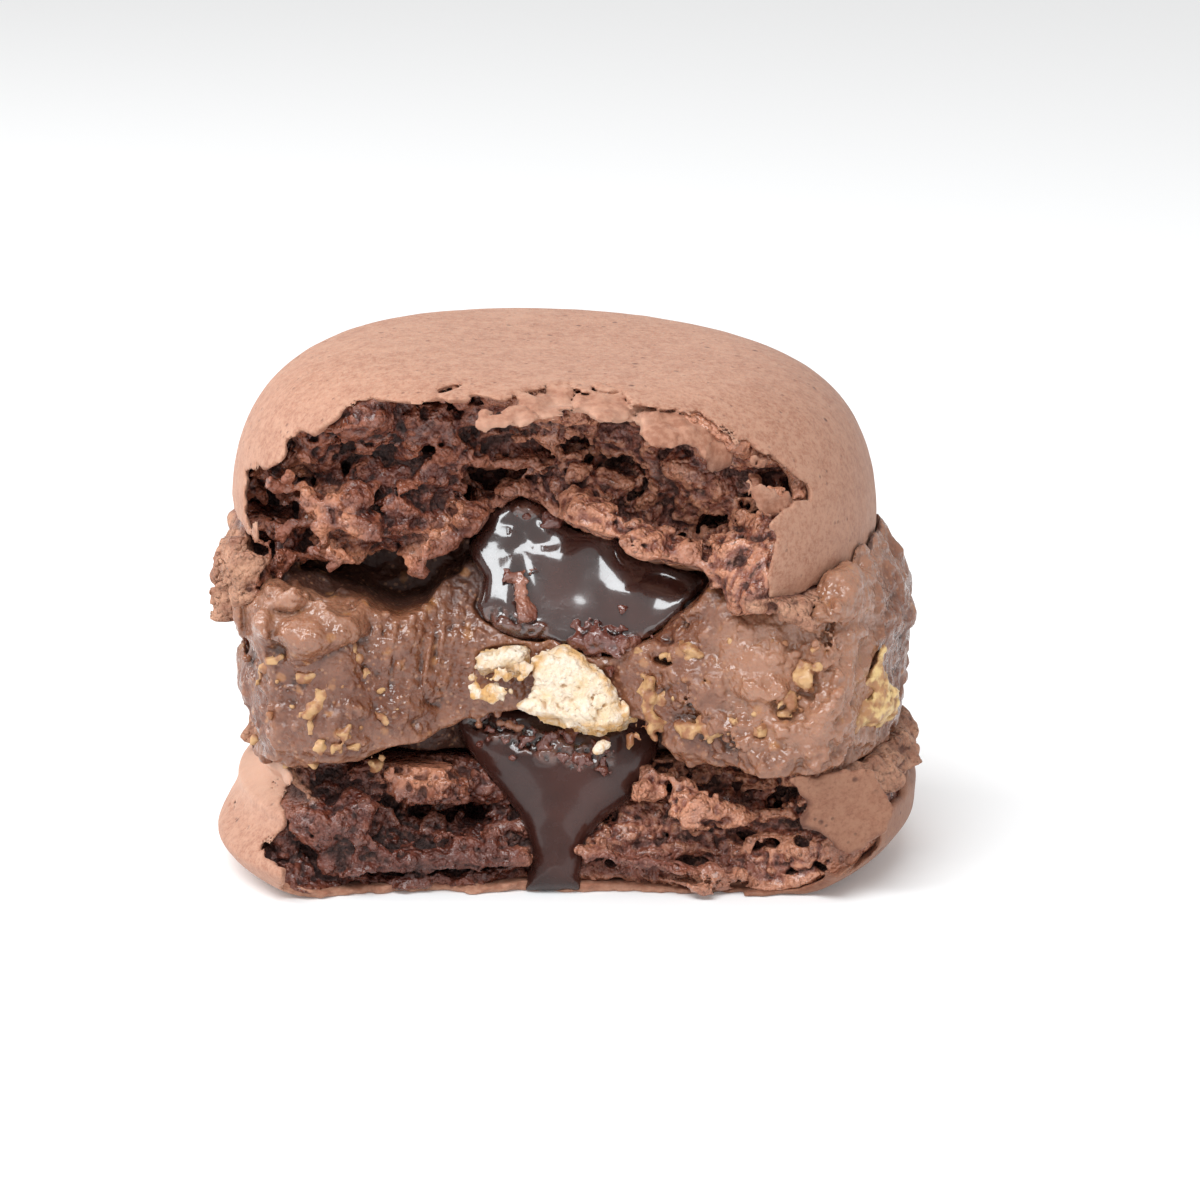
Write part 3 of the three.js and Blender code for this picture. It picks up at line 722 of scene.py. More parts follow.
def build_top_crumb(front):
    step = CLOSE if front else 0.34
    g = Field(
        spaced(-26.6, 23.6, -25.5, 17.5, step, 0.5),
        spaced(-17.6, -3.0, -15.2, -6.0, step, 0.5) if front else spaced(-3.6, 25.2, -3.6, 25.0, step, 0.5),
        spaced(19.0, 38.9, 20.0, 38.0, step, 0.4),
    )
    d, foot, h = top_distance(g.x, g.y, g.z)
    side = g.flat(3.1, 40) * 0.35 + g.flat(1.6, 41) * 0.2
    face = bite_top(g.x[:, 0], g.z[0])
    ahead = before(g, face)
    near = smooth(-4.0, -1.5, ahead)
    # frilly foot: small bubbles pressed together
    frill = foot * (
        0.3 * billow(g.noise((1.5, 1.5, 1.0), 30)) + 0.18 * billow(g.noise(0.8, 31)) + 0.07 * g.noise(0.45, 32) - 0.3
    )
    skin = 0.46 * (1 - foot) * smooth(-1.2, 0.2, h)
    frill = frill + foot * (0.34 * grainy(g, d, 1.2, 18, 1.2, 0.3, where=foot) + 0.26 * grainy(g, d, 0.6, 19, 1.0, 0.25, where=foot))
    frill = frill * (1 - 0.5 * foot_left(np.arctan2(g.y, g.x)))
    body = d + skin - frill
    if not front:
        g.f = body
        return g, d, foot
    # the crumb pulls away from the crust near its broken edge
    apart = near * (1 - foot) * smooth(0.0, 2.0, h) * (0.55 + 0.4 * g.noise(2.6, 33))
    under = eased(TOP_FLOOR, g.x[:, 0])[:, None].astype(F) + 0.3 * g.flat(1.5, 42) + 0.15 * g.flat(0.7, 43)
    under = np.minimum((under - g.z) * 0.9, -5.0 - g.y)
    g.f = smax(smax(body + np.maximum(apart, -0.2), ahead + side, 0.4), under, 0.5)
    # ridges and lips that stand forward
    def line(points, y):
        return [(*on_plane(px, py, y + dy)[:1], y + dy, on_plane(px, py, y + dy)[1]) for px, py, dy in points]

    wob = 0.28 * g.noise(0.9, 34) + 0.16 * g.noise(0.45, 35)
    g.rod(line([(316, 512, 0.6), (321, 540, 0), (343, 553, -0.4), (368, 559, -0.6), (405, 561, -0.7), (424, 541, -0.2), (450, 525, 0.6), (458, 508, 1.2)], -11.6), [0.7, 0.75, 0.75, 0.7, 0.7, 0.7, 0.6, 0.5], 0.5, wobble=wob)
    g.rod(line([(340, 496, 0.4), (349, 525, -0.2), (362, 544, -0.5)], -11.4), 0.5, 0.5, wobble=wob)
    g.rod(line([(300, 455, 0), (306, 490, -0.2), (318, 512, 0)], -10.6), 0.55, 0.5, wobble=wob)
    g.rod(line([(576, 516, 1.0), (600, 540, 0.2), (640, 557, -0.2), (680, 566, -0.5), (708, 570, -0.6)], -12.0), [0.9, 1.0, 0.9, 0.9, 0.7], 0.5, wobble=wob)
    g.rod(line([(730, 545, 0), (748, 560, -0.3), (758, 590, -0.6)], -13.0), [0.9, 1.0, 0.9], 0.5, wobble=wob)
    g.rod(line([(243, 500, 0), (236, 530, 0), (234, 560, 0), (231, 590, 0), (227, 612, 0), (226, 622, 0)], -6.0), [0.8, 0.9, 0.95, 0.9, 0.9, 0.6], 0.6, wobble=wob * 0.5)
    g.rod(line([(248, 520, 0), (248, 560, 0), (244, 596, 0)], -8.5), [0.7, 0.8, 0.6], 0.5, wobble=wob)
    # holes: centre and half sizes in pixels, depth behind the face, turn
    for px, py, wide, tall, back, turn in [
        (497, 484, 33, 14, 4.8, 0.35), (470, 500, 16, 9, 3.4, 0.3), (384, 489, 8, 12, 2.2, 0), (437, 446, 9, 5, 1.6, 0), (553, 439, 5, 8, 1.8, 0),
        (563, 449, 9, 4, 1.6, 0), (288, 521, 27, 15, 4.5, -0.1), (267, 478, 6, 20, 2.6, 0), (262, 566, 13, 16, 3.0, 0),
        (360, 409, 17, 8, 2.5, 0.3), (420, 410, 42, 5, 2.2, 0), (315, 441, 12, 6, 2.0, 0.5), (622, 468, 12, 8, 1.8, 0),
        (724, 521, 23, 7, 3.6, 0.2), (718, 560, 10, 8, 2.6, 0), (690, 450, 14, 3, 1.8, 0.1), (680, 420, 44, 6, 2.4, -0.42),
        (770, 470, 30, 18, 2.6, -0.6), (742, 500, 10, 7, 1.8, 0), (640, 500, 7, 5, 1.4, 0), (590, 470, 6, 4, 1.2, 0),
        (470, 430, 6, 6, 1.2, 0), (405, 520, 8, 5, 1.4, 0), (345, 470, 6, 8, 1.6, 0),
    ]:
        x, z = on_plane(px, py, -10.0)
        y = float(bite_top(np.array(x), np.array(z))) + 0.3
        c, s = math.cos(turn), math.sin(turn)
        g.stamp((x, y, z), (wide / 13.5, back, tall / 13.5), 0.35, True, np.array([[c, 0, -s], [0, 1, 0], [s, 0, c]]), wob * 1.2)
    crumbly(g, near, 1, 1.0, 1.0, 1 - 0.55 * smooth(0, 5, g.x))
    for px, py, wide, tall, back, turn in [
        (497, 483, 28, 11, 4.5, 0.35), (470, 500, 14, 8, 3.4, 0.3), (288, 520, 22, 13, 4.0, -0.1), (262, 566, 11, 13, 3.0, 0),
        (724, 521, 20, 6, 3.2, 0.2), (384, 489, 6, 10, 2.2, 0), (716, 556, 9, 7, 2.4, 0), (262, 480, 5, 16, 2.4, 0),
    ]:
        x, z = on_plane(px, py, -10.0)
        y = float(bite_top(np.array(x), np.array(z))) + 0.1
        c, s = math.cos(turn), math.sin(turn)
        g.stamp((x, y, z), (wide / 13.5, back, tall / 13.5), 0.3, True, np.array([[c, 0, -s], [0, 1, 0], [s, 0, c]]), wob * 1.3)
    grains(g, 6, 500, (-24, 17), (21.5, 37.5), (0.13, 0.32), 0.05, 0.4)
    # it never shows through the crust, and it ends where the ganache wells out of it
    g.f = smax(g.f, np.where(foot > 0.5, -1.0, d + 0.30), 0.1)
    u, v = seen_at(g.x, g.y, g.z)
    pool = Outline(POOL_LINE)(u, v + 0 * u) + 0.15 * g.noise(0.8, 44)
    g.f = smax(g.f, -np.maximum(pool, g.y - pool_face(g.x, g.z) - 1.2), 0.2)
    return g, d, foot


def build_top_crust():
    g = Field(
        spaced(-26.2, 24.2, -25.4, 23.0, FINE * 1.12, 0.5),
        spaced(-17.8, 25.6, -16.5, -5.0, FINE * 1.12, 0.8),
        spaced(20.4, 39.6, 21.5, 39.2, FINE * 1.12, 0.4),
    )
    d, foot, h = top_distance(g.x, g.y, g.z)
    u, v = seen_at(g.x, g.y, g.z)
    v = v + 0 * u
    ragged = 0.16 * g.noise(1.3, 50) + 0.13 * g.noise(0.6, 51) + 0.06 * g.noise(0.34, 52)
    opening = Outline(CRUST_EDGE)(u, v) + ragged
    opening = np.where(g.y < 1.0, opening, 9.0)
    opening = smax(opening, (g.y - 0.5) * 1.0, 0.3) * 0.9
    thick = SKIN + 0.08 * g.noise(2.0, 53) + 5.0 * smooth(-3.0, 6.0, g.y)
    lower = -(h + 0.35 - 1.6 * foot_left(np.arctan2(g.y, g.x)) + 0.22 * g.noise(1.8, 54) + 0.1 * g.noise(0.7, 55))
    tiny = 0.012 * g.noise(0.9, 56) + 0.05 * g.noise((9, 9, 6), 57)
    outer = d + tiny
    shell = smax(smax(outer, -(outer + thick), 0.12), lower, 0.25)
    g.f = smax(shell, -opening, 0.12)
    # cracks: a thin one near the edge
    crack = Outline([(438, 391), (450, 386.5), (462, 384.5), (463, 386.5), (451, 389.5), (440, 394), (441, 404), (438, 404)], 30, 0.5)(u, v)
    crack = np.where((g.y < 0) & (h > 3), crack, 9.0)
    g.f = smax(g.f, -(crack + 0.4 * ragged), 0.08)
    chip = bump2(u, v, 452, 396, 12, 9)
    # sunken crust, and loose flakes of it inside the opening
    for outline, depth, lean in [(SUNKEN, 0.75, 0.02)] + [(p, dep, 0.03) for p, dep in FLAKES]:
        mid = np.mean(np.array(outline), 0)
        inside = Outline(outline)(u, v) + 1.6 * ragged + 0.1 * g.noise(0.45, 59)
        inside = np.where(g.y < -4, inside, 9.0)
        split = np.abs(g.noise(2.6, 45)) - 0.05
        sheet = np.abs(outer + depth + lean * (v - mid[1]) + 0.16 * g.noise(2.2, 58) + 0.07 * g.noise(0.6, 46)) - 0.23
        sheet = smax(sheet, -split * 1.5, 0.05)
        g.f = np.minimum(g.f, smax(sheet, inside * 0.9, 0.06))
    return g, outer


# ---- the bottom shell ----------------------------------------------------------------------------
def base_distance(x, y, z):
    r, angle = np.hypot(x, y).astype(F), np.arctan2(y, x).astype(F)
    foot = smooth(6.6, 7.8, z) * smooth(BASE_R - 5, BASE_R - 2, r)
    swell = 1 + 0.005 * np.sin(2 * angle + 2.2) + 0.004 * np.sin(5 * angle + 0.5)
    ruffle = 0.22 * np.sin(19 * angle + 1.2 * np.sin(4 * angle)) + 0.12 * np.sin(31 * angle + 2)
    round_left = (angle + 2.75 + math.pi) % (2 * math.pi) - math.pi
    left, right = np.exp(-((round_left / 0.65) ** 2)), np.exp(-(((angle + 0.45) / 0.8) ** 2))
    low = np.clip(z, 0, None)
    out = left * (1.9 * smooth(4.8, 2.4, low) - 0.8 * smooth(4.0, 5.8, low) - 1.6 * smooth(6.0, 7.4, low))
    out = out + right * (0.6 * smooth(2.4, 4.4, low) - 0.5 * smooth(3.0, 0.2, low))
    r = (r - foot * ruffle - out) / swell
    z = z + 0 * r
    return BASE_SHAPE(r, z), foot


def bite_base(x, z):
    lean = 0.36 * z * smooth(-24, -17, x) * smooth(22, 15, x)
    cave = 1.3 * bump2(x, z, -19.2, 3.4, 1.6, 1.6) + 1.0 * bump2(x, z, -7, 5.0, 4.0, 1.3)
    return eased(BASE_EDGE, x) + lean + cave - 16 * smooth(18.2, 24, x)


BASE_OPENING = [
    (294, 700), (294, 750), (297, 766), (289, 784), (282, 800), (287, 812), (290, 822), (276, 834), (267, 845), (262, 857), (270, 864), (284, 868),
    (283, 884), (284, 980), (745, 980), (748, 896), (752, 884), (761, 879),
    (776, 873), (790, 876), (810, 868), (835, 871), (852, 868), (868, 861), (884, 851), (897, 838), (903, 822), (905, 806), (903, 790), (896, 776), (896, 700),
]
RIGHT_FLAKE = [(790, 780), (800, 792), (812, 806), (803, 825), (818, 831), (826, 838), (835, 845), (849, 857), (857, 850), (871, 846), (879, 837), (891, 832), (888, 822), (893, 810), (888, 798), (883, 786), (868, 772), (836, 770)]


def build_base_crust():
    g = Field(
        spaced(-26.2, 26.2, -25.6, 25.6, FINE * 1.2, 0.5),
        spaced(-17.6, 26.0, -17.2, -8.0, FINE * 1.2, 0.8),
        spaced(-0.6, 10.6, -0.1, 9.7, FINE * 1.1, 0.3),
    )
    d, foot = base_distance(g.x, g.y, g.z)
    u, v = seen_at(g.x, g.y, g.z)
    v = v + 0 * u
    ragged = 0.16 * g.noise(1.2, 60) + 0.12 * g.noise(0.6, 61) + 0.06 * g.noise(0.34, 62)
    deep = (bite_base(g.x, 0 * g.z) - 0.5 + 15.0 * smooth(0.9, 3.6, g.z)).astype(F)
    opening = smax(Outline(BASE_OPENING)(u, v) + ragged, (g.y - deep - 1.6 * ragged) * 0.8, 0.25)
    # to the right the broken rim leans forward as it rises
    rim = (-12.3 - 1.25 * g.z - g.y) * 0.6 * smooth(8, 11, g.x)
    opening = np.minimum(opening, np.where((g.x > 9) & (g.z < 5), -rim + 0.5 * ragged, 9.0))
    thick = 0.62 + 0.1 * g.noise(2.4, 63) + 5.0 * smooth(-2.0, 7.0, g.y) + 1.2 * smooth(-21.5, -23.0, g.x) * smooth(5.6, 6.8, g.z)
    outer = d + 0.05 * g.noise((7, 7, 5), 64)
    upper = g.z - 7.0 - 2.0 * smooth(-18.5, -20.5, g.x) * smooth(2, -3, g.y) - 0.22 * g.noise(2.2, 65) - 0.12 * g.noise(0.8, 66)
    shell = smax(smax(outer, -(outer + thick), 0.12), upper, 0.3)
    g.f = smax(shell, -opening, 0.12)
    # a flake of the crust that leans out at the right, with the broken rim behind it
    flake = np.where(g.y < -9, Outline(RIGHT_FLAKE)(u, v) + 1.1 * ragged, 9.0)
    sheet = g.y - (-15.35 + 0.42 * (g.x - 16.5) - 0.03 * (g.x - 16.5) ** 2 - 0.16 * (g.z - 5) + 0.12 * g.noise(2.6, 67))
    g.f = np.minimum(g.f, smax(np.abs(sheet) * 0.9 - 0.27, flake * 0.9, 0.1))
    g.f = smax(g.f, -g.z, 0.02)
    return g, outer


def build_base_crumb(front):
    step = CLOSE if front else 0.34
    g = Field(
        spaced(-26.0, 26.0, -25.0, 24.6, step, 0.5),
        spaced(-15.6, -3.0, -14.8, -6.5, step, 0.5) if front else spaced(-3.6, 26.0, -3.6, 25.4, step, 0.5),
        spaced(-0.3, 10.9, 0.2, 10.5, step, 0.3),
    )
    d, foot = base_distance(g.x, g.y, g.z)
    ahead = before(g, bite_base(g.x[:, 0], g.z[0]))
    near = smooth(-4.0, -1.5, ahead)
    frill = foot * (
        0.32 * billow(g.noise((1.6, 1.6, 1.0), 70)) + 0.18 * billow(g.noise(0.8, 71)) + 0.07 * g.noise(0.45, 72) - 0.3
    )
    skin = 0.5 * (1 - foot) * smooth(7.4, 6.2, g.z)
    frill = frill + foot * (0.34 * grainy(g, d, 1.2, 20, 1.2, 0.3, where=foot) + 0.26 * grainy(g, d, 0.6, 21, 1.0, 0.25, where=foot))
    body = d + skin - frill
    if not front:
        g.f = smax(body, np.where((g.x < -18.8) & (g.y < 1.5) & (g.z < 10.6), d + 0.36, -9.0), 0.1)
        g.f = smax(g.f, 0.25 - g.z, 0.05)
        return g
    g.f = smax(body, ahead + 0.3 * g.flat(2.6, 73), 0.4)
    u, v = seen_at(g.x, g.y, g.z)
    v = v + 0 * u
    calm = np.maximum(bump2(u, v, 430, 860, 120, 16), bump2(u, v, 620, 862, 90, 14))
    wob = 0.26 * g.noise(0.8, 78) + 0.16 * g.noise(0.42, 79)

    def line(points, y):
        return [(on_plane(px, py, y + dy)[0], y + dy, on_plane(px, py, y + dy)[1]) for px, py, dy in points]

    # flaky layers along the bottom, with dark gaps between them
    g.rod(line([(334, 862, 0), (400, 861, -0.2), (460, 858, 0), (524, 857, 0.1)], -12.0), 0.75, 0.3, wobble=wob * 0.7)
    g.rod(line([(590, 855, 0), (640, 862, -0.2), (690, 873, -0.1), (740, 876, 0)], -12.2), 0.6, 0.3, wobble=wob * 0.7)
    g.rod(line([(414, 835, 0), (440, 838, -0.2)], -11.4), 0.8, 0.3, wobble=wob)
    g.rod(line([(450, 845, 0), (512, 836, -0.3)], -11.4), 0.65, 0.3, wobble=wob)
    g.rod(line([(360, 800, 0), (352, 830, -0.6), (335, 842, -0.4), (322, 838, 0)], -11.6), 0.55, 0.4, wobble=wob)
    g.rod(line([(300, 812, 0), (330, 835, -0.3)], -12.0), 0.6, 0.4, wobble=wob)
    g.rod(line([(640, 790, 0.6), (690, 800, 0.2), (740, 815, 0)], -11.4), 0.7, 0.5, wobble=wob)
    # a smooth flap of the upper layer left of the ganache
    g.rod(line([(372, 774, 1.0), (404, 760, 0.6), (432, 766, 0.2), (452, 788, 0.0)], -10.8), [0.8, 1.1, 1.2, 0.8], 1.0, wobble=wob * 1.4)
    g.rod(line([(400, 784, 0.4), (428, 792, 0.0)], -10.9), 0.7, 0.6, wobble=wob * 0.6)
    for px, py, wide, tall, back, turn in [
        (286, 848, 17, 14, 3.2, 0), (473, 821, 26, 11, 3.4, 0.1), (405, 874.5, 52, 2.6, 2.2, 0), (501, 868, 17, 2.6, 2.0, 0.05),
        (438, 822, 12, 8, 2.2, 0), (560, 868, 30, 4, 1.6, 0), (632, 866, 44, 2.4, 2.2, -0.07), (690, 872, 20, 3, 1.8, -0.2),
        (607, 826, 15, 7, 2.0, 0.3), (764, 846, 14, 7, 2.6, 0.1), (782, 812, 10, 10, 2.2, 0), (726, 880, 16, 2.5, 1.6, 0),
        (395, 812, 14, 6, 1.8, 0), (340, 795, 12, 5, 1.6, -0.4), (664, 838, 8, 8, 1.5, 0), (790, 868, 8, 5, 1.6, 0),
        (897, 802, 8, 26, 4.5, 0.1), (862, 857, 26, 7, 4.5, 0.35), (820, 862, 16, 5, 3.0, 0), (665, 790, 10, 5, 1.4, -0.4),
    ]:
        x, z = on_plane(px, py, -11.5)
        y = float(bite_base(np.array(x), np.array(z))) + 0.2
        c, s = math.cos(turn), math.sin(turn)
        g.stamp((x, y, z), (wide / 13.5, back, tall / 13.5), 0.25, True, np.array([[c, 0, -s], [0, 1, 0], [s, 0, c]]), wob)
    crumbly(g, near * (1 - 0.65 * calm), 4, 0.6, 0.62, 0.55)
    grains(g, 8, 400, (-22, 22), (0.7, 9.5), (0.13, 0.3), 0.05, 0.4)
    # long gaps between the layers, and the flake at the right stands clear of the crumb
    for px, py, wide, tall, back, turn in [
        (372, 873, 22, 3.4, 2.6, 0.0), (450, 871, 14, 3.6, 2.4, 0), (500, 868, 20, 4.0, 2.6, 0.03), (412, 876, 30, 2.6, 2.0, 0), (640, 867, 46, 3.6, 2.6, -0.1), (596, 860, 12, 4, 2.6, 0),
        (478, 823, 26, 8, 3.6, 0.12), (690, 874, 20, 3.2, 2.4, -0.12), (418, 826, 24, 9, 2.2, -0.1), (436, 790, 10, 4, 1.6, 0.4), (770, 842, 12, 6, 2.6, 0),
    ]:
        x, z = on_plane(px, py, -11.8)
        y = float(bite_base(np.array(x), np.array(z))) - 0.3
        c, s = math.cos(turn), math.sin(turn)
        g.stamp((x, y, z), (wide / 13.5, back, tall / 13.5), 0.12, True, np.array([[c, 0, -s], [0, 1, 0], [s, 0, c]]), wob * (0.5 if tall < 5 else 1.6))
    g.f = smax(g.f, np.minimum(-14.3 + 0.42 * (g.x - 16.5) - g.y, g.x - 13.5), 0.3)
    g.f = smax(g.f, np.where((foot > 0.4) & ((g.x > -18.8) | (g.z > 10.6)), -1.0, d + 0.36), 0.1)
    g.f = smax(g.f, 0.25 - g.z, 0.05)
    return g


# ---- the buttercream -----------------------------------------------------------------------------
def fill_distance(x, y, z):
    r, angle = np.hypot(x, y).astype(F), np.arctan2(y, x).astype(F)
    right = np.exp(-((angle / 0.75) ** 2))
    high = smooth(12, 21, z) * smooth(15, 22, r)
    r = r + foot_left(angle) * (1.5 * bump2(z, 0 * z, 10.4, 0, 2.2, 1) + 1.5 * bump2(z, 0 * z, 16.6, 0, 2.2, 1) + 0.2)
    r = r + right * (0.4 - 0.3 * smooth(17.5, 20.5, z))
    swell = 1 + 0.012 * np.sin(2 * angle + 0.3) + 0.007 * np.sin(5 * angle + 1.1) + 0.005 * np.sin(9 * angle)
    return FILL_SHAPE(r / swell, z - 2.2 * right * high)


def bite_fill(x, z):
    sag = 1.1 * bump2(x, z, -16, 12.5, 6, 3.2) + 1.2 * bump2(x, z, 14, 12.0, 6, 3.5)
    roof = 0.55 * np.maximum(0, z - 18.5) ** 1.25 * (0.4 + 0.6 * bump2(x, z, 0, 21, 10, 9))
    under = 0.5 * np.maximum(0, 11.8 - z) ** 1.2
    return eased(FILL_EDGE, x) - sag + roof + under - 20 * smooth(16.5, 22.5, x)


FILL_UNDER = [[-24.5, 9.0], [-22, 9.3], [-18.5, 9.3], [-15.5, 10.2], [-14, 11.1], [-11.5, 11.5], [-9, 12.5], [-6, 12.9], [4.5, 12.8], [6, 12.3], [8, 11.2], [9.7, 10.2], [13, 9.4], [16, 8.8], [18, 9.2], [24, 9.2]]
FILL_TOP_LEFT = [(236, 660), (240, 600), (249, 587), (262, 583), (276, 584), (283, 573), (294, 571), (304, 583), (316, 586), (328, 582), (340, 590), (348, 599), (360, 604), (374, 608), (407, 616), (430, 604), (453, 590), (484, 582)]


def build_filling(front):
    step = CLOSE * 1.08 if front else 0.36
    g = Field(
        spaced(-26.2, 26.6, -25.4, 25.6, step, 0.5),
        spaced(-18.0, -2.0, -17.0, -8.0, step, 0.5) if front else spaced(-2.6, 25.8, -2.6, 25.4, step, 0.5),
        spaced(8.0, 26.2, 8.8, 25.4, step, 0.35),
    )
    d = fill_distance(g.x, g.y, g.z)
    top, _, _ = top_distance(g.x, g.y, g.z)
    base, _ = base_distance(g.x, g.y, g.z)
    xs = g.x[:, 0]
    ahead = before(g, bite_fill(g.x[:, 0], g.z[0]))
    near = np.maximum(smooth(-4.0, -1.5, ahead), 0.65 * smooth(12, 16, g.x) * smooth(3, -2, g.y))
    u, v = seen_at(g.x, g.y, g.z)
    v = v + 0 * u
    lumps_left = bump2(u, v, 310, 615, 85, 48) * smooth(395, 360, u)
    right = smooth(600, 690, u)
    soft_n = g.noise((3.4, 3.4, 2.4), 80)
    fold = g.noise((2.4, 2.4, 1.5), 81)
    mid_n = g.noise(1.25, 82)
    fine_n = g.noise(0.55, 83)
    f = smax(d, ahead, 0.7 + 3.4 * smooth(12, 16, g.x))
    f = smax(f, -17.1 - g.y, 1.6)
    # soft torn lumps at the upper left, granular cream on the right, a smooth bulge between
    amount = near * (0.8 * billow(soft_n) + 0.6 * billow(fold)) * (lumps_left + 0.2 * right + 0.16)
    f = f - amount + near * 0.4 * lumps_left
    f = f - near * 0.9 * lumps_left * grainy(g, f, (3.0, 3.0, 2.2), 13, 2.0, 0.4, where=near * lumps_left)
    f = f - near * (0.2 * mid_n * (0.5 + lumps_left + 0.6 * right) + 0.08 * fine_n * (0.6 + right))
    band = bump2(u, v, 440, 645, 42, 56) + 0.7 * bump2(u, v, 395, 650, 26, 50)
    calm = (0.5 + 0.5 * smooth(-0.6, 0.8, soft_n)) * (1 - 0.6 * np.clip(band, 0, 1))
    f = f - near * (0.3 + 0.08 * right + 0.2 * lumps_left) * grainy(g, f, 1.05, 9, 0.9, 0.35, where=near) * calm
    f = f - near * (0.26 + 0.08 * right) * grainy(g, f, 0.52, 10, 0.6, 0.3, where=near)
    f = f - (1 - near) * (0.14 * g.noise((2.6, 2.6, 1.8), 76) + 0.05 * fine_n)
    # torn, folded cream below the crust at the right
    torn = bump2(u, v, 842, 580, 44, 40) * (g.y < 0)
    f = f - torn * (0.6 * billow(g.noise((2.6, 2.6, 1.1), 77)) + 0.35 * billow(g.noise((1.6, 1.6, 0.8), 97)) - 0.5)
    f = f - torn * 0.3 * grainy(g, f, 0.8, 11, 0.9, 0.35, where=torn)
    # marks of teeth: upright grooves
    phase = (g.x - 0.13 * (g.z - 17.5)) * 2 * math.pi / 0.86 + 1.9 * g.noise((1.9, 2.2, 6.0), 84)
    strength = smooth(-2.2, 0.6, g.noise((0.9, 3, 5.0), 85)) * (0.085 + 0.05 * smooth(-1, 1, g.noise((1.3, 4, 9.0), 68)))
    f = f - near * np.clip(band, 0, 1) * (strength * (np.sin(phase) + 0.5 * np.sin(2.13 * phase + 1.0)) + 0.05 * g.noise((0.3, 2, 2.4), 47))
    # the hollow under its front, where the bottom shell's crumb has sunk away
    low = eased(FILL_UNDER, xs)[:, None].astype(F) + 0.3 * g.flat(1.7, 86) + 0.18 * g.flat(0.8, 87)
    wall = -7.6 + 0.5 * g.noise(2.0, 94) + 0.3 * g.noise(0.9, 95)
    f = smax(f, np.minimum(low - g.z, wall - g.y), 0.45)
    high = eased(FILL_CEILING, xs)[:, None].astype(F) + 0.3 * g.flat(1.9, 75) + 0.12 * g.flat(0.8, 69)
    f = smax(f, np.minimum((g.z - high) * 0.8, -4.0 - g.y), 0.6)
    g.f = smax(f, 0.08 - base, 0.15)
    if not front:
        under = np.minimum(eased(TOP_FLOOR, xs)[:, None].astype(F) - g.z, -5.0 - g.y)
        g.f = smax(g.f, 0.10 - smax(top, under, 0.4), 0.2)
        return g
    # the dark space between the two halves at the left
    wob = 0.3 * g.noise(1.6, 88) + 0.1 * fine_n
    g.stamp((-14.4, -8.6, 23.4), (6.2, 6.4, 1.5), 0.3, True, None, wob)
    for px, py, wide, tall, back in [(263, 570, 12, 12, 2.5), (355, 602, 10, 3, 1.2), (330, 605, 22, 3.5, 1.4), (662, 660, 8, 2.5, 0.6), (665, 640, 8, 3, 0.6), (706, 672, 6, 3, 0.7), (355, 676, 4, 3, 0.7)]:
        x, z = on_plane(px, py, -12.0)
        y = float(bite_fill(np.array(x), np.array(z)))
        g.stamp((x, y, z), (wide / 13.5, back, tall / 13.5), 0.25, True, None, wob * 0.5)
    rng = np.random.default_rng(12)
    # bits of biscuit and sugar under the surface push small bumps through it
    for _ in range(420):
        x, z = rng.uniform(-24, 19), rng.uniform(9.5, 22.5)
        y = float(bite_fill(np.array(x), np.array(z))) + rng.uniform(-0.02, 0.25)
        r = rng.uniform(0.12, 0.34)
        g.stamp((x, y, z), (r * rng.uniform(0.8, 1.6), r, r * rng.uniform(0.7, 1.3)), 0.12)
    under = np.minimum(eased(TOP_FLOOR, xs)[:, None].astype(F) - g.z, -5.0 - g.y)
    g.f = smax(g.f, 0.10 - smax(top, under, 0.4), 0.2)
    # it stands back behind the pool of ganache and the pieces of biscuit
    pool = Outline(POOL_LINE)(u, v) + 0.12 * mid_n + 0.06 * fine_n
    g.f = smax(g.f, -np.maximum(pool, g.y - pool_face(g.x, g.z) - 1.2), 0.25)
    for outline, y in ((BIG_BISCUIT, -11.2), (SMALL_BISCUIT, -10.4), (SIDE_BISCUIT, -10.6)):
        hole = Outline(outline, 40)(u, v) + 0.12
        g.f = smax(g.f, -np.maximum(hole, g.y - y), 0.2)
    return g


# ---- the ganache ---------------------------------------------------------------------------------
TONGUE_LINE = [(452, 690), (452, 712), (458, 730), (466, 748), (485, 772), (505, 795), (517, 812), (525, 829), (530, 850), (528, 870), (524, 892), (584, 892), (581, 874), (587, 842), (604, 819), (631, 799), (648, 775), (656, 752), (660, 720), (664, 690)]
POOL_LINE = [(470, 545), (478, 528), (492, 512), (507, 500), (522, 494), (545, 508), (560, 520), (574, 530), (600, 533), (618, 536), (628, 552), (650, 558), (677, 565), (704, 570), (712, 580), (704, 594), (692, 606), (674, 618), (660, 632), (640, 645), (612, 655), (585, 652), (565, 645), (545, 640), (520, 640), (500, 632), (486, 620), (477, 606), (480, 590), (484, 575), (474, 560)]


def pool_face(x, z):
    y = -11.4 + 0.43 * (z - 17.2)
    for px, py, wide, tall, out in [
        (503, 604, 22, 44, 0.85), (553, 560, 22, 19, 0.42), (625, 590, 30, 29, 0.72), (690, 601, 24, 22, 0.5), (658, 622, 50, 30, 0.42), (588, 580, 18, 30, -0.3),
        (512, 540, 12, 9, 0.2), (538, 530, 10, 8, 0.16), (525, 515, 22, 12, 0.25),
    ]:
        x0, z0 = (px - 600) / 13.85 + 2.3, 19.0 + (634.8 - py) / 14.43
        y = y - out * bump2(x, z, x0, z0, wide / 13.5, tall / 13.5)
    return y


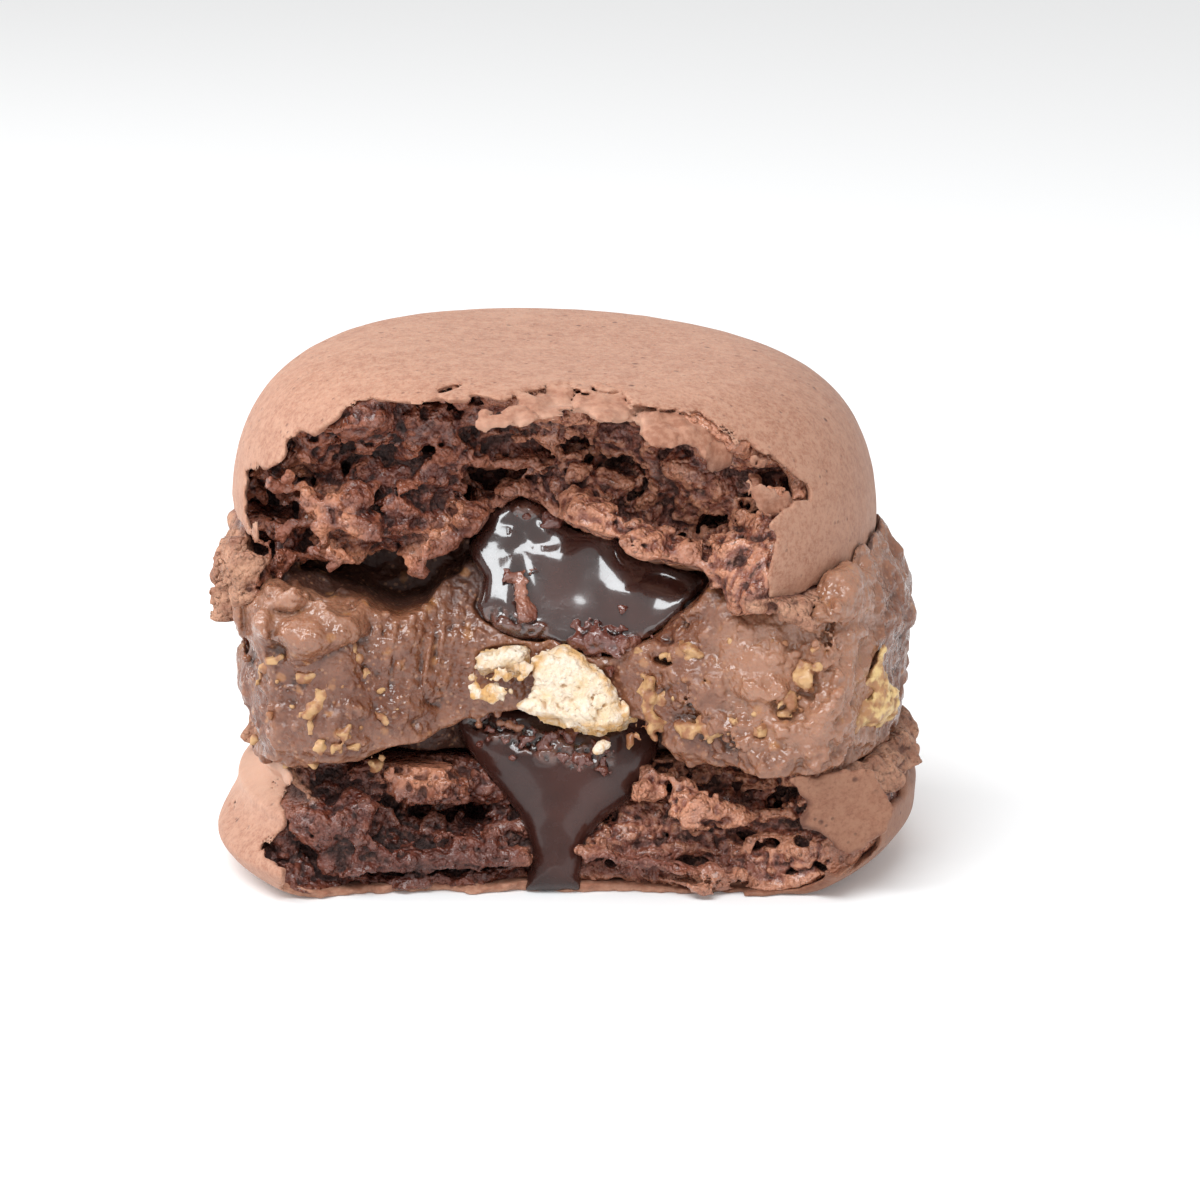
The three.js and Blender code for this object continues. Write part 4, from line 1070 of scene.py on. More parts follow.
SOAKED = [
    (482, 722, 18, 12), (502, 730, 20, 14), (526, 740, 22, 15), (552, 750, 22, 16), (578, 756, 20, 16), (602, 760, 16, 13),
    (497, 617, 14, 13), (515, 622, 16, 11), (538, 630, 14, 10), (600, 642, 30, 13), (640, 640, 16, 9), (532, 508, 22, 9), (708, 584, 8, 10), (692, 606, 10, 7),
]


def soaked(u, v):
    """How full of crumbs the ganache is at each place."""
    out = 0 * (u + v)
    for px, py, wide, tall in SOAKED:
        out = np.maximum(out, bump2(u, v, px, py, wide, tall))
    return smooth(0.3, 0.65, out).astype(F)


def tongue_y(z):
    return flow([[-1, -12.6], [0, -12.5], [1.8, -12.1], [3.5, -11.6], [5.3, -11.0], [7.4, -10.3], [9.9, -9.5], [11.3, -8.9], [14, -8.4], [30, -8]], z)


def bead(depth, reach):
    """The rounded shoulder of a thick liquid's edge, 0 at the edge and 1 well inside it."""
    s = np.clip(-depth / reach, 0, 1)
    return np.sqrt(np.clip(1 - (1 - s) ** 2, 0, 1))


def build_ganache():
    step = CLOSE * 1.1
    g = Field(
        spaced(-9.6, 11.2, -8.8, 10.4, step, 0.5),
        spaced(-14.6, 7.4, -14.2, -8.0, step, 0.6),
        spaced(-0.4, 28.4, 0.0, 27.6, step, 0.4),
    )
    u, v = seen_at(g.x, g.y, g.z)
    v = v + 0 * u
    r = np.hypot((g.x - CORE_AT[0]) / 1.06, g.y - CORE_AT[1])
    core = smax(r - CORE_R - 0.1, np.maximum(10.3 - g.z, g.z - 23.4), 1.6)
    core = smax(core, np.where(g.x < 0, -4.6, -7.6) - g.y, 0.8)
    xs, zs = g.x[:, 0], g.z[0]
    edge = Outline(POOL_LINE)(u, v) + 0.12 * g.noise(1.6, 90)
    front = pool_face(xs, zs)[:, None, :].astype(F) + 0.08 * g.noise(2.4, 91) + 0.015 * g.noise(0.9, 96)
    front = front + bump2(u, v, 524, 538, 26, 20) * (0.12 * g.noise(0.9, 98) + 0.07 * g.noise(0.55, 99))
    front = front + 0.7 * (1 - bead(edge, 0.9))
    pool = smax(smax((front - g.y) * 0.8, edge, 0.3), g.y + 2.6, 0.5)
    edge = Outline(TONGUE_LINE)(u, v) + 0.05 * g.noise(2.0, 92)
    back = tongue_y(zs)[:, None, :].astype(F) + 0.9
    front = back - 2.45 * bead(edge, 4.6) * smooth(-0.6, 0.9, g.z) ** 0.5 + 0.25
    tongue = smax(smax((front - g.y) * 0.85, edge, 0.25), g.y - back - 1.6, 0.4)
    tongue = smax(tongue, g.z - 13.0, 0.5)
    g.f = smin(smin(core, pool, 0.6), tongue, 0.8)
    wet = soaked(u, v) * (g.y < -6)
    g.f = g.f - wet * (0.16 * g.noise(1.1, 93) + 0.4 * grainy(g, g.f, 0.75, 25, 0.8, 0.35, where=wet) + 0.26 * grainy(g, g.f, 0.4, 26, 0.6, 0.25, where=wet))
    g.f = smax(g.f, 0.02 - g.z, 0.03)
    return g


# ---- biscuit -------------------------------------------------------------------------------------
BIG_BISCUIT = [(516, 706), (524, 690), (530, 672), (543, 652), (560, 646), (577, 652), (590, 663), (606, 675), (611, 688), (617, 700), (621, 708), (631, 715), (624, 727), (602, 730), (585, 729), (570, 727), (540, 719), (526, 714)]
SMALL_BISCUIT = [(474, 660), (479, 650), (492, 645), (508, 643), (528, 642), (533, 650), (530, 660), (521, 671), (508, 672), (494, 673), (482, 672), (475, 668)]
SIDE_BISCUIT = [(856, 716), (853, 727), (880, 726), (893, 712), (896, 692), (888, 684), (886, 668), (889, 650), (884, 642), (874, 652), (868, 668), (864, 684), (876, 690), (862, 702)]


def build_biscuit(outline, face_y, lean, depth, seed, bulge=0.6):
    p = np.array(outline, float)
    x0, z0 = on_plane(p[:, 0].min() - 8, p[:, 1].max() + 8, face_y)
    x1, z1 = on_plane(p[:, 0].max() + 8, p[:, 1].min() - 8, face_y)
    step = FINE * 0.62
    g = Field(
        np.arange(x0, x1, step), spaced(face_y - 1.6, face_y + depth + 0.6, face_y - 1.5, face_y + 1.4, step, 0.4), np.arange(z0 - 0.8, z1 + 0.8, step)
    )
    u, v = seen_at(g.x, g.y, g.z)
    v = v + 0 * u
    edge = Outline(outline, 40, 0.5)(u, v) + 0.14 * g.noise(1.1, seed) + 0.1 * g.noise(0.5, seed + 1)
    xm, zm = (x0 + x1) / 2, (z0 + z1) / 2
    front = face_y + lean[0] * (g.x - xm) + lean[1] * (g.z - zm) - bulge * bead(edge, 1.2) + bulge * 0.5
    broken = 0.13 * g.noise((1.8, 1.8, 1.1), seed + 2) + 0.08 * g.noise((0.8, 0.8, 0.6), seed + 3) + 0.05 * g.noise(0.35, seed + 5)
    g.f = smax(smax(front - g.y, edge, 0.4), g.y - face_y - depth, 0.3) - broken
    grain, lines = grainy(g, g.f, (1.2, 1.2, 0.8), 16, 1.0, 0.5, True)
    g.f = g.f - 0.14 * grain + 0.16 * smooth(0.12, 0.0, lines) * smooth(0.2, 1.0, g.noise(1.5, seed + 4))
    g.f = g.f - 0.16 * grainy(g, g.f, 0.55, 14, 0.7, 0.35) - 0.17 * grainy(g, g.f, 0.3, 15, 0.5, 0.25)
    return g


# ---- crumbs --------------------------------------------------------------------------------------
def lumps_on(g, places, seed, rough=0.25, grain=0.26):
    """Small broken lumps at places [(x, y, z, radius), ...], in a field of their own."""
    g.f = np.full([len(a) for a in g.axes], 1.0, F)
    rng = np.random.default_rng(seed)
    wob = rough * g.noise(0.7, seed) + rough * 0.8 * g.noise(0.36, seed + 1)
    for x, y, z, r in places:
        half = r * rng.uniform(0.7, 1.3, 3)
        g.stamp((x, y, z), half, 0.03, wobble=wob * min(1.0, r / 0.45))
        for _ in range(3 if r > 0.3 else 1):
            o = rng.normal(0, 0.55, 3) * r
            g.stamp((x + o[0], y + o[1], z + o[2]), half * rng.uniform(0.35, 0.65), 0.03, wobble=wob * min(1.0, r / 0.45))
    g.f = g.f - grain * grainy(g, g.f, 0.5, seed % 7 + 22, 0.5)
    return g


def ganache_front(x, z):
    return tongue_y(z) + 0.9 - 2.1


def wet_crumbs():
    """Crumbs that fell into the ganache: in the pool, and in a band across the top of the tongue."""
    rng = np.random.default_rng(31)
    places = []
    for px, py, r, out in [
        (592, 632, 0.8, 0.2), (604, 641, 0.85, 0.3), (618, 641, 0.75, 0.3), (580, 640, 0.6, 0.2), (612, 628, 0.5, 0.1), (632, 648, 0.55, 0.2), (590, 648, 0.6, 0.3),
        (575, 628, 0.4, 0), (535, 506, 0.5, 0.1), (545, 516, 0.45, 0.1), (530, 518, 0.4, 0), (520, 512, 0.3, 0), (555, 524, 0.35, 0.1),
    ]:
        x, y, z = on_face(px, py, pool_face, out * r)
        places.append((x, y, z, r))
    for _ in range(46):
        t = rng.random()
        px, py = 515 + 14 * t + rng.normal(0, 5.5 - 3 * t), 578 + 32 * t + rng.normal(0, 3)
        x, y, z = on_face(px, py, pool_face, 0.25)
        places.append((x, y, z, rng.uniform(0.16, 0.32)))
    for _ in range(60):
        px, py = rng.normal(605, 24), rng.normal(638, 10)
        x, y, z = on_face(px, py, pool_face, 0.1)
        places.append((x, y, z, rng.uniform(0.14, 0.3)))
    for _ in range(150):
        t = rng.random()
        px, py = 478 + 132 * t, 720 + 40 * t + rng.normal(0, 11)
        x, y, z = on_face(px, py, ganache_front, 0.0)
        places.append((x, y - 0.08, z, 0.12 + 0.16 * rng.random() ** 2))
    g = Field(np.arange(-9, 9.5, CLOSE), spaced(-14.4, -5.5, -14.2, -6.2, CLOSE, 0.3), np.arange(8.5, 27.5, CLOSE))
    return lumps_on(g, places, 130, 0.16, 0.34)


def biscuit_crumbs():
    """Crumbs of biscuit round the pieces."""
    places = []
    rng = np.random.default_rng(33)
    for px, py, wide, tall, count, r in [
        (560, 641, 16, 6, 26, 0.24), (515, 676, 9, 5, 14, 0.2), (474, 684, 6, 5, 9, 0.2), (500, 693, 16, 6, 30, 0.22), (604, 746, 6, 4, 9, 0.2), (524, 668, 6, 8, 10, 0.2), (622, 712, 8, 6, 8, 0.18), (488, 676, 14, 3, 10, 0.16),
    ]:
        for _ in range(count):
            y = (-12.4 if py < 730 else -12.2) + rng.normal(0, 0.15)
            x, z = on_plane(px + rng.normal(0, wide / 2), py + rng.normal(0, tall / 2), y)
            places.append((x, y, z, r * rng.uniform(0.6, 1.5)))
    g = Field(np.arange(-8.5, 4.5, CLOSE * 0.85), np.arange(-13.6, -11, CLOSE * 0.85), np.arange(8.5, 18.5, CLOSE * 0.85))
    return lumps_on(g, places, 140, 0.24)


def stained_crumbs():
    """Bits of biscuit stirred into the cream, where they break its surface."""
    rng = np.random.default_rng(32)
    places = []

    def put(px, py, r, out=-0.35):
        x, y, z = on_face(px, py, bite_fill, out * r)
        places.append((x, y - 0.12, z, r))

    for px, py, wide, tall, count in [
        (716, 724, 22, 9, 34), (728, 640, 7, 12, 12), (690, 656, 16, 8, 16), (309, 714, 9, 16, 14), (686, 728, 8, 6, 8), (650, 722, 10, 7, 8),
        (806, 677, 8, 8, 8), (754, 612, 14, 6, 8), (664, 692, 20, 12, 10), (784, 702, 12, 8, 8), (752, 682, 8, 6, 5), (340, 742, 18, 12, 8), (262, 660, 12, 8, 5),
    ]:
        for _ in range(count):
            put(px + rng.normal(0, wide / 2), py + rng.normal(0, tall / 2), rng.uniform(0.18, 0.4))
    for _ in range(90):
        put(rng.uniform(630, 830), rng.uniform(640, 745), rng.uniform(0.11, 0.24))
    for _ in range(60):
        put(rng.uniform(248, 400), rng.uniform(640, 765), rng.uniform(0.11, 0.24))
    g = Field(np.arange(-24, 20, FINE), spaced(-17.6, -8, -17.2, -9.0, FINE, 0.3), np.arange(8.5, 22, FINE))
    return lumps_on(g, places, 150, 0.28, 0.3)


# ---- materials -----------------------------------------------------------------------------------
def srgb(r, g, b):
    return tuple(((c / 255 + 0.055) / 1.055) ** 2.4 if c > 10 else c / 255 / 12.92 for c in (r, g, b)) + (1.0,)


# How far each look is turned down, in red, green and blue.
GAIN = {
    "crust": (0.62, 0.565, 0.53),
    "crumb": (1.2, 1.23, 1.16),
    "wet_crumb": (0.7, 0.62, 0.6),
    "buttercream": (0.5, 0.41, 0.36),
    "stained_biscuit": (0.68, 0.66, 0.64),
    "side_biscuit": (0.9, 1.04, 0.98),
    "biscuit": (0.86, 0.81, 0.86),
}


class Look:
    """A small helper that writes a material's nodes."""

    def __init__(self, name):
        self.name = name
        self.m = bpy.data.materials.new(name)
        self.m.use_nodes = True
        self.t = self.m.node_tree
        self.t.nodes.clear()
        self.out = self.t.nodes.new("ShaderNodeOutputMaterial")
        self.b = self.t.nodes.new("ShaderNodeBsdfPrincipled")
        self.t.links.new(self.b.outputs[0], self.out.inputs[0])
        self.place = self.t.nodes.new("ShaderNodeTexCoord").outputs["Object"]

    def node(self, kind, **values):
        n = self.t.nodes.new("ShaderNode" + kind)
        for k, v in values.items():
            if hasattr(n, k):
                setattr(n, k, v)
            else:
                n.inputs[k].default_value = v
        return n

    def link(self, a, b):
        self.t.links.new(a, b)
        return b

    def noise(self, size_mm, detail=3.0, rough=0.55, stretch=None, distortion=0.0):
        n = self.node("TexNoise", Scale=1000.0 / size_mm, Detail=detail, Roughness=rough, Distortion=distortion)
        if stretch:
            m = self.node("Mapping")
            m.inputs["Scale"].default_value = stretch
            self.link(self.place, m.inputs["Vector"])
            self.link(m.outputs[0], n.inputs["Vector"])
        else:
            self.link(self.place, n.inputs["Vector"])
        return n.outputs["Fac"]

    def cells(self, size_mm, feature="F1", rand=1.0):
        n = self.node("TexVoronoi", Scale=1000.0 / size_mm, Randomness=rand)
        n.feature = feature
        self.link(self.place, n.inputs["Vector"])
        return n.outputs["Distance"]

    def attribute(self, name):
        n = self.node("Attribute")
        n.attribute_name = name
        return n.outputs["Fac"]

    def range(self, value, a, b, low=0.0, high=1.0):
        n = self.node("MapRange")
        n.interpolation_type = "SMOOTHSTEP"
        for i, x in enumerate((a, b, low, high), 1):
            n.inputs[i].default_value = x
        self.link(value, n.inputs[0])
        return n.outputs[0]

    def math(self, kind, a, b=None, clamp=False):
        n = self.node("Math")
        n.operation = kind
        n.use_clamp = clamp
        for i, x in enumerate((a, b)):
            if x is None:
                continue
            if isinstance(x, (int, float)):
                n.inputs[i].default_value = x
            else:
                self.link(x, n.inputs[i])
        return n.outputs[0]

    def mix(self, share, a, b, kind="MIX"):
        n = self.node("Mix")
        n.data_type = "RGBA"
        n.blend_type = kind
        for socket, x in ((n.inputs[0], share), (n.inputs[6], a), (n.inputs[7], b)):
            if isinstance(x, (int, float, tuple)):
                socket.default_value = x
            else:
                self.link(x, socket)
        return n.outputs[2]

    def bump(self, height, strength, reach_mm, after=None):
        n = self.node("Bump")
        n.inputs["Strength"].default_value = strength
        n.inputs["Distance"].default_value = reach_mm * MM
        self.link(height, n.inputs["Height"])
        if after is not None:
            self.link(after, n.inputs["Normal"])
        return n.outputs[0]

    def finish(self, color, roughness, normal=None, **values):
        self.b.inputs["Coat Weight"].default_value = values.pop("Coat_Weight", 0.0)
        gain = GAIN.get(self.name)
        if gain:
            color = self.mix(1.0, color, (*gain, 1.0), "MULTIPLY")
        for socket, x in (("Base Color", color), ("Roughness", roughness)):
            if isinstance(x, (int, float, tuple)):
                self.b.inputs[socket].default_value = x
            else:
                self.link(x, self.b.inputs[socket])
        if normal is not None:
            self.link(normal, self.b.inputs["Normal"])
        for k, x in values.items():
            self.b.inputs[k.replace("_", " ")].default_value = x
        return self.m


def crust_look():
    k = Look("crust")
    wide = k.noise(9.0, 3.0, 0.6)
    mottle = k.noise(1.7, 4.0, 0.6)
    grain = k.noise(0.3, 3.0, 0.75)
    c = k.mix(k.range(wide, 0.3, 0.7), srgb(196, 142, 116), srgb(212, 162, 136))
    c = k.mix(k.range(mottle, 0.35, 0.68, 0, 0.75), c, srgb(184, 128, 102))
    c = k.mix(k.range(k.noise(0.75, 3.0, 0.7), 0.42, 0.64, 0, 0.5), c, srgb(228, 182, 156))
    c = k.mix(k.range(grain, 0.4, 0.62, 0, 0.5), c, srgb(230, 186, 162))
    c = k.mix(k.range(grain, 0.3, 0.45, 0.4, 0), c, srgb(158, 104, 82))
    speck = k.cells(1.9)
    speck = k.math("MULTIPLY", k.range(speck, 0.05, 0.15, 1, 0), k.range(k.noise(4.1, 2.0), 0.46, 0.56))
    fleck = k.math("MULTIPLY", k.range(k.cells(0.8), 0.08, 0.22, 1, 0), k.range(k.noise(2.7, 2.0), 0.48, 0.6))
    dark = k.math("MAXIMUM", k.math("MULTIPLY", speck, 0.8), k.math("MULTIPLY", fleck, 0.5))
    c = k.mix(dark, c, srgb(104, 62, 48))
    inner = k.attribute("inner")
    torn = k.mix(k.range(k.noise(0.5, 3.0), 0.35, 0.7), srgb(180, 124, 98), srgb(212, 160, 134))
    c = k.mix(inner, c, torn)
    # painted shade: crust lying more than a millimetre under its outer face is darkened
    deep = k.attribute("deep")
    c = k.mix(deep, c, srgb(84, 46, 34))
    # painted shade: the crust is made darker and warmer towards its right side, the side turned away from the lamps
    c = k.mix(k.attribute("painted_shade"), c, k.mix(1.0, c, (0.68, 0.6, 0.54, 1), "MULTIPLY"))
    c = k.mix(k.attribute("lit"), c, srgb(250, 208, 184))
    n = k.bump(grain, 0.5, 0.10)
    n = k.bump(mottle, 0.35, 0.22, n)
    n = k.bump(k.range(dark, 0.0, 0.7, 1, 0), 0.5, 0.12, n)
    return k.finish(c, k.range(grain, 0.3, 0.7, 0.55, 0.75), n, Subsurface_Weight=0.1, Subsurface_Scale=0.0005, Subsurface_Radius=(1.0, 0.45, 0.3), Specular_IOR_Level=0.4, Sheen_Weight=0.06, Sheen_Roughness=0.5)


def crumb_look():
    k = Look("crumb")
    tip = k.attribute("tip")
    broad = k.noise(5.0, 3.0, 0.6)
    fine = k.noise(0.5, 4.0, 0.7)
    # painted shade in the hollows and painted light on exposed tips, from the tip attribute
    c = k.mix(k.range(tip, 0.12, 0.5), srgb(50, 22, 15), srgb(120, 68, 54))
    c = k.mix(k.range(tip, 0.5, 0.92), c, srgb(176, 118, 94))
    c = k.mix(k.range(broad, 0.4, 0.7, 0, 0.5), c, srgb(92, 46, 40))
    c = k.mix(k.range(fine, 0.5, 0.72, 0, 0.5), c, srgb(170, 122, 104))
    # lips: a paler orange colour, with painted shade in their hollows and painted light on their tips
    c = k.mix(k.range(k.attribute("lip"), 0, 1, 0, 0.85), c, k.mix(k.range(tip, 0.15, 0.6), srgb(116, 68, 51), srgb(190, 128, 99)))
    # painted shade: the crumb is darker on the left, where the crust's rim shades it
    c = k.mix(k.attribute("painted_shade"), c, k.mix(1.0, c, (0.5, 0.365, 0.335, 1), "MULTIPLY"))
    foot = k.attribute("foot")
    f = k.mix(k.range(k.noise(1.4, 4.0), 0.3, 0.7), srgb(132, 88, 70), srgb(170, 124, 102))
    # painted shade in the hollows of the foot
    f = k.mix(k.range(tip, 0.1, 0.6, 1, 0), f, srgb(92, 54, 42))
    c = k.mix(foot, c, f)
    wet = k.range(k.noise(1.1, 2.0), 0.42, 0.6)
    rough = k.mix(wet, (0.5, 0.5, 0.5, 1), (0.2, 0.2, 0.2, 1))
    rough = k.mix(k.range(tip, 0.15, 0.42, 1, 0), rough, (0.75, 0.75, 0.75, 1))
    rough = k.mix(foot, rough, (0.72, 0.72, 0.72, 1))
    k.link(k.math("MULTIPLY", k.math("MULTIPLY", wet, k.range(tip, 0.25, 0.6)), k.range(foot, 0, 1, 0.5, 0.0)), k.b.inputs["Coat Weight"])
    n = k.bump(k.range(k.cells(0.55), 0.0, 0.75, 1, 0), 1.0, 0.24)
    n = k.bump(k.range(k.cells(0.27), 0.0, 0.75, 1, 0), 0.8, 0.1, n)
    n = k.bump(fine, 0.5, 0.12, n)
    return k.finish(c, rough, n, Subsurface_Weight=0.1, Subsurface_Scale=0.0003, Subsurface_Radius=(1.0, 0.4, 0.25), Specular_IOR_Level=0.55, Coat_Roughness=0.08)


def wet_look():
    """Crumb soaked in ganache."""
    k = Look("wet_crumb")
    tip = k.attribute("tip")
    # painted shade in hollows and painted light on tips of the soaked crumbs
    c = k.mix(k.range(tip, 0.1, 0.8), srgb(38, 18, 15), srgb(122, 70, 58))
    c = k.mix(k.range(k.noise(0.8, 3.0), 0.5, 0.7, 0, 0.5), c, srgb(140, 84, 68))
    c = k.mix(k.attribute("light"), c, k.mix(k.range(tip, 0.2, 0.8), srgb(132, 80, 62), srgb(184, 128, 104)))
    n = k.bump(k.range(k.cells(0.36), 0.0, 0.75, 1, 0), 0.8, 0.12)
    n = k.bump(k.noise(0.4, 3.0), 0.5, 0.1, n)
    return k.finish(c, k.range(k.noise(0.9, 2.0), 0.4, 0.6, 0.14, 0.4), n, Specular_IOR_Level=0.7, Coat_Weight=0.6, Coat_Roughness=0.08)


def cream_look():
    k = Look("buttercream")
    broad = k.noise(6.0, 3.0, 0.6)
    mid = k.noise(1.6, 4.0, 0.6)
    fine = k.noise(0.4, 3.0, 0.6)
    tip = k.attribute("tip")
    c = k.mix(k.range(broad, 0.35, 0.65), srgb(148, 98, 74), srgb(174, 124, 98))
    c = k.mix(k.range(mid, 0.4, 0.65, 0, 0.7), c, srgb(134, 78, 50))
    # painted shade in the cream's hollows and painted light on its tips
    c = k.mix(k.range(tip, 0.0, 0.45, 0.85, 0), c, srgb(74, 40, 29))
    c = k.mix(k.range(tip, 0.55, 0.95, 0, 0.65), c, srgb(200, 150, 122))
    c = k.mix(k.range(k.attribute("pale"), 0, 1, 0, 0.75), c, srgb(224, 176, 148))
    # painted shade: cream set back behind the bite's front and in the cave is darkened
    c = k.mix(k.range(k.attribute("deep"), 0, 1, 0, 0.9), c, srgb(96, 56, 38))
    # grains of biscuit stirred into the cream
    bits = k.math("MULTIPLY", k.range(k.cells(1.5), 0.16, 0.34, 1, 0), k.range(k.noise(2.3, 3.0), 0.5, 0.58))
    small = k.math("MULTIPLY", k.range(k.cells(0.5), 0.14, 0.34, 1, 0), k.range(k.noise(1.1, 3.0), 0.42, 0.54))
    c = k.mix(k.math("MULTIPLY", bits, 0.75), c, srgb(222, 166, 112))
    c = k.mix(k.math("MULTIPLY", small, 0.55), c, srgb(232, 184, 148))
    wet = k.range(k.noise(1.9, 3.0), 0.42, 0.6)
    rough = k.mix(wet, (0.42, 0.42, 0.42, 1), (0.13, 0.13, 0.13, 1))
    rough = k.mix(k.attribute("smear"), rough, (0.14, 0.14, 0.14, 1))
    rough = k.mix(k.attribute("deep"), rough, (0.6, 0.6, 0.6, 1))
    n = k.bump(k.range(k.cells(0.6), 0.0, 0.75, 1, 0), 0.55, 0.16)
    n = k.bump(k.range(k.cells(0.3), 0.0, 0.75, 1, 0), 0.5, 0.07, n)
    n = k.bump(mid, 0.3, 0.25, n)
    return k.finish(c, rough, n, Subsurface_Weight=0.2, Subsurface_Scale=0.0006, Subsurface_Radius=(1.0, 0.45, 0.28), Specular_IOR_Level=0.72)


def bit_look(name):
    """Biscuit stained by the cream round it."""
    k = Look(name)
    c = k.mix(k.range(k.noise(1.0, 3.0), 0.4, 0.6), srgb(226, 180, 128), srgb(176, 118, 82))
    # painted shade in the hollows of the stained biscuit
    c = k.mix(k.range(k.attribute("tip"), 0.2, 0.7, 0.6, 0), c, srgb(140, 88, 58))
    n = k.bump(k.noise(0.3, 3.0), 0.6, 0.1)
    return k.finish(c, k.range(k.noise(0.8, 2.0), 0.4, 0.6, 0.3, 0.6), n, Specular_IOR_Level=0.5)


def ganache_look():
    k = Look("ganache")
    broad = k.noise(5.0, 2.0, 0.5)
    c = k.mix(k.range(broad, 0.3, 0.7), srgb(46, 24, 20), srgb(66, 36, 30))
    wet = k.attribute("wet")
    # soaked crumbs: painted shade in their hollows and painted light on their tips
    soak = k.mix(k.range(k.attribute("tip"), 0.3, 0.75), srgb(36, 18, 14), srgb(98, 58, 46))
    c = k.mix(wet, c, soak)
    n = k.bump(k.noise(1.8, 2.0, 0.5), 0.1, 0.12)
    n = k.bump(k.range(k.noise(0.5, 2.0), 0.55, 0.75), 0.2, 0.04, n)
    n = k.bump(k.math("MULTIPLY", wet, k.range(k.cells(0.3), 0.0, 0.75, 1, 0)), 0.8, 0.09, n)
    k.link(k.math("MAXIMUM", k.range(k.attribute("pool"), 0, 1, 0.2, 1.0), k.math("MULTIPLY", wet, 0.8)), k.b.inputs["Coat Weight"])
    return k.finish(c, k.range(k.noise(1.1, 3.0), 0.35, 0.7, 0.2, 0.32), n, Coat_Roughness=0.085, Coat_IOR=1.75, Specular_IOR_Level=0.3, Subsurface_Weight=0.05, Subsurface_Scale=0.001)


def biscuit_look():
    k = Look("biscuit")
    tip = k.attribute("tip")
    mid = k.noise(1.4, 4.0, 0.65)
    fine = k.noise(0.28, 3.0, 0.7)
    c = k.mix(k.range(mid, 0.35, 0.7), srgb(244, 232, 204), srgb(234, 212, 168))
    c = k.mix(k.range(fine, 0.5, 0.75, 0, 0.4), c, srgb(214, 180, 122))
    # painted shade in the biscuit's hollows and painted light on its tips
    c = k.mix(k.range(tip, 0.05, 0.45, 0.8, 0), c, srgb(176, 130, 78))
    c = k.mix(k.range(tip, 0.6, 1.0, 0, 0.6), c, srgb(250, 242, 220))
    c = k.mix(k.math("MULTIPLY", k.attribute("edge"), k.range(k.noise(0.9, 3.0), 0.35, 0.6)), c, srgb(222, 180, 118))
    n = k.bump(fine, 0.7, 0.12)
    n = k.bump(k.range(k.cells(0.26), 0.0, 0.75, 1, 0), 0.7, 0.08, n)
    n = k.bump(k.noise(0.16, 3.0), 0.7, 0.06, n)
    return k.finish(c, 0.85, n, Subsurface_Weight=0.2, Subsurface_Scale=0.0004, Subsurface_Radius=(1.0, 0.8, 0.5), Specular_IOR_Level=0.3)


# ---- building the pieces -------------------------------------------------------------------------
def tips(g, v, near=0.45, wide=1.4, crisp=1.9):
    """0 in a deep hollow, 0.5 on a flat face and 1 at an exposed tip; the looks use it to paint shade into hollows and
    light onto tips.
    """
    small, large = g.fullness(near), g.fullness(wide)
    return np.clip(0.5 + crisp * (0.5 - g.at(v, small)) + 1.5 * (0.5 - g.at(v, large)), 0, 1)


def finished(g, rounds=1, share=0.3, least=150):
    v, q = surface(g)
    v = relax(v, q, rounds, share)
    v, q, _ = largest_only(v, q, least)
    return v, q


LIP = [(300, 470), (306, 490), (316, 512), (322, 532), (332, 546), (343, 553), (356, 557), (370, 560), (388, 562), (405, 561), (414, 550), (424, 541), (437, 532), (450, 522), (457, 508), (335, 496), (346, 516), (352, 534)]


def top_pieces(crust, crumb):
    g, outer = build_top_crust()
    v, q = finished(g, 2, 0.35)
    d, _, h = top_distance(v[:, 0], v[:, 1], v[:, 2])
    px, py = seen_at(*v.T)
    lit = smooth(0.9, 0.0, Outline(SUNKEN)(px, py)) * smooth(0.3, 0.8, -d) * (v[:, 1] < -6)
    # painted shade: the top crust darkens towards the right, and where it lies deep under its outer face
    mesh_piece("top_crust", v, q, {"inner": smooth(0.12, 0.4, -d), "deep": smooth(1.0, 2.2, -d) * 0.5, "painted_shade": 0.2 * smooth(700, 850, px), "lit": 0.5 * lit}, crust, "top_shell", 92000)
    for name, front, most in (("top_crumb", True, 190000), ("top_back", False, 40000)):
        g, d, foot = build_top_crumb(front)
        v, q = finished(g)
        d, foot, _ = top_distance(v[:, 0], v[:, 1], v[:, 2])
        px, py = seen_at(*v.T)
        tip = tips(g, v, 0.3, 1.3, 2.7) if front else tips(g, v)
        lip = 0 * px
        for u0, v0 in LIP:
            lip = np.maximum(lip, bump2(px, py, u0, v0, 11, 11))
        lip = np.maximum(lip, bump2(px, py, 252, 530, 10, 60)) * (v[:, 1] < -6)
        # painted shade on the left of the top crumb, less of it on the lips
        painted_shade = smooth(600, 440, px) * (v[:, 1] < -2)
        mesh_piece(name, v, q, {"tip": tip, "foot": foot * smooth(1.4, 0.4, -d), "lip": lip, "painted_shade": painted_shade * (1 - 0.6 * lip)}, crumb, "top_shell", most)


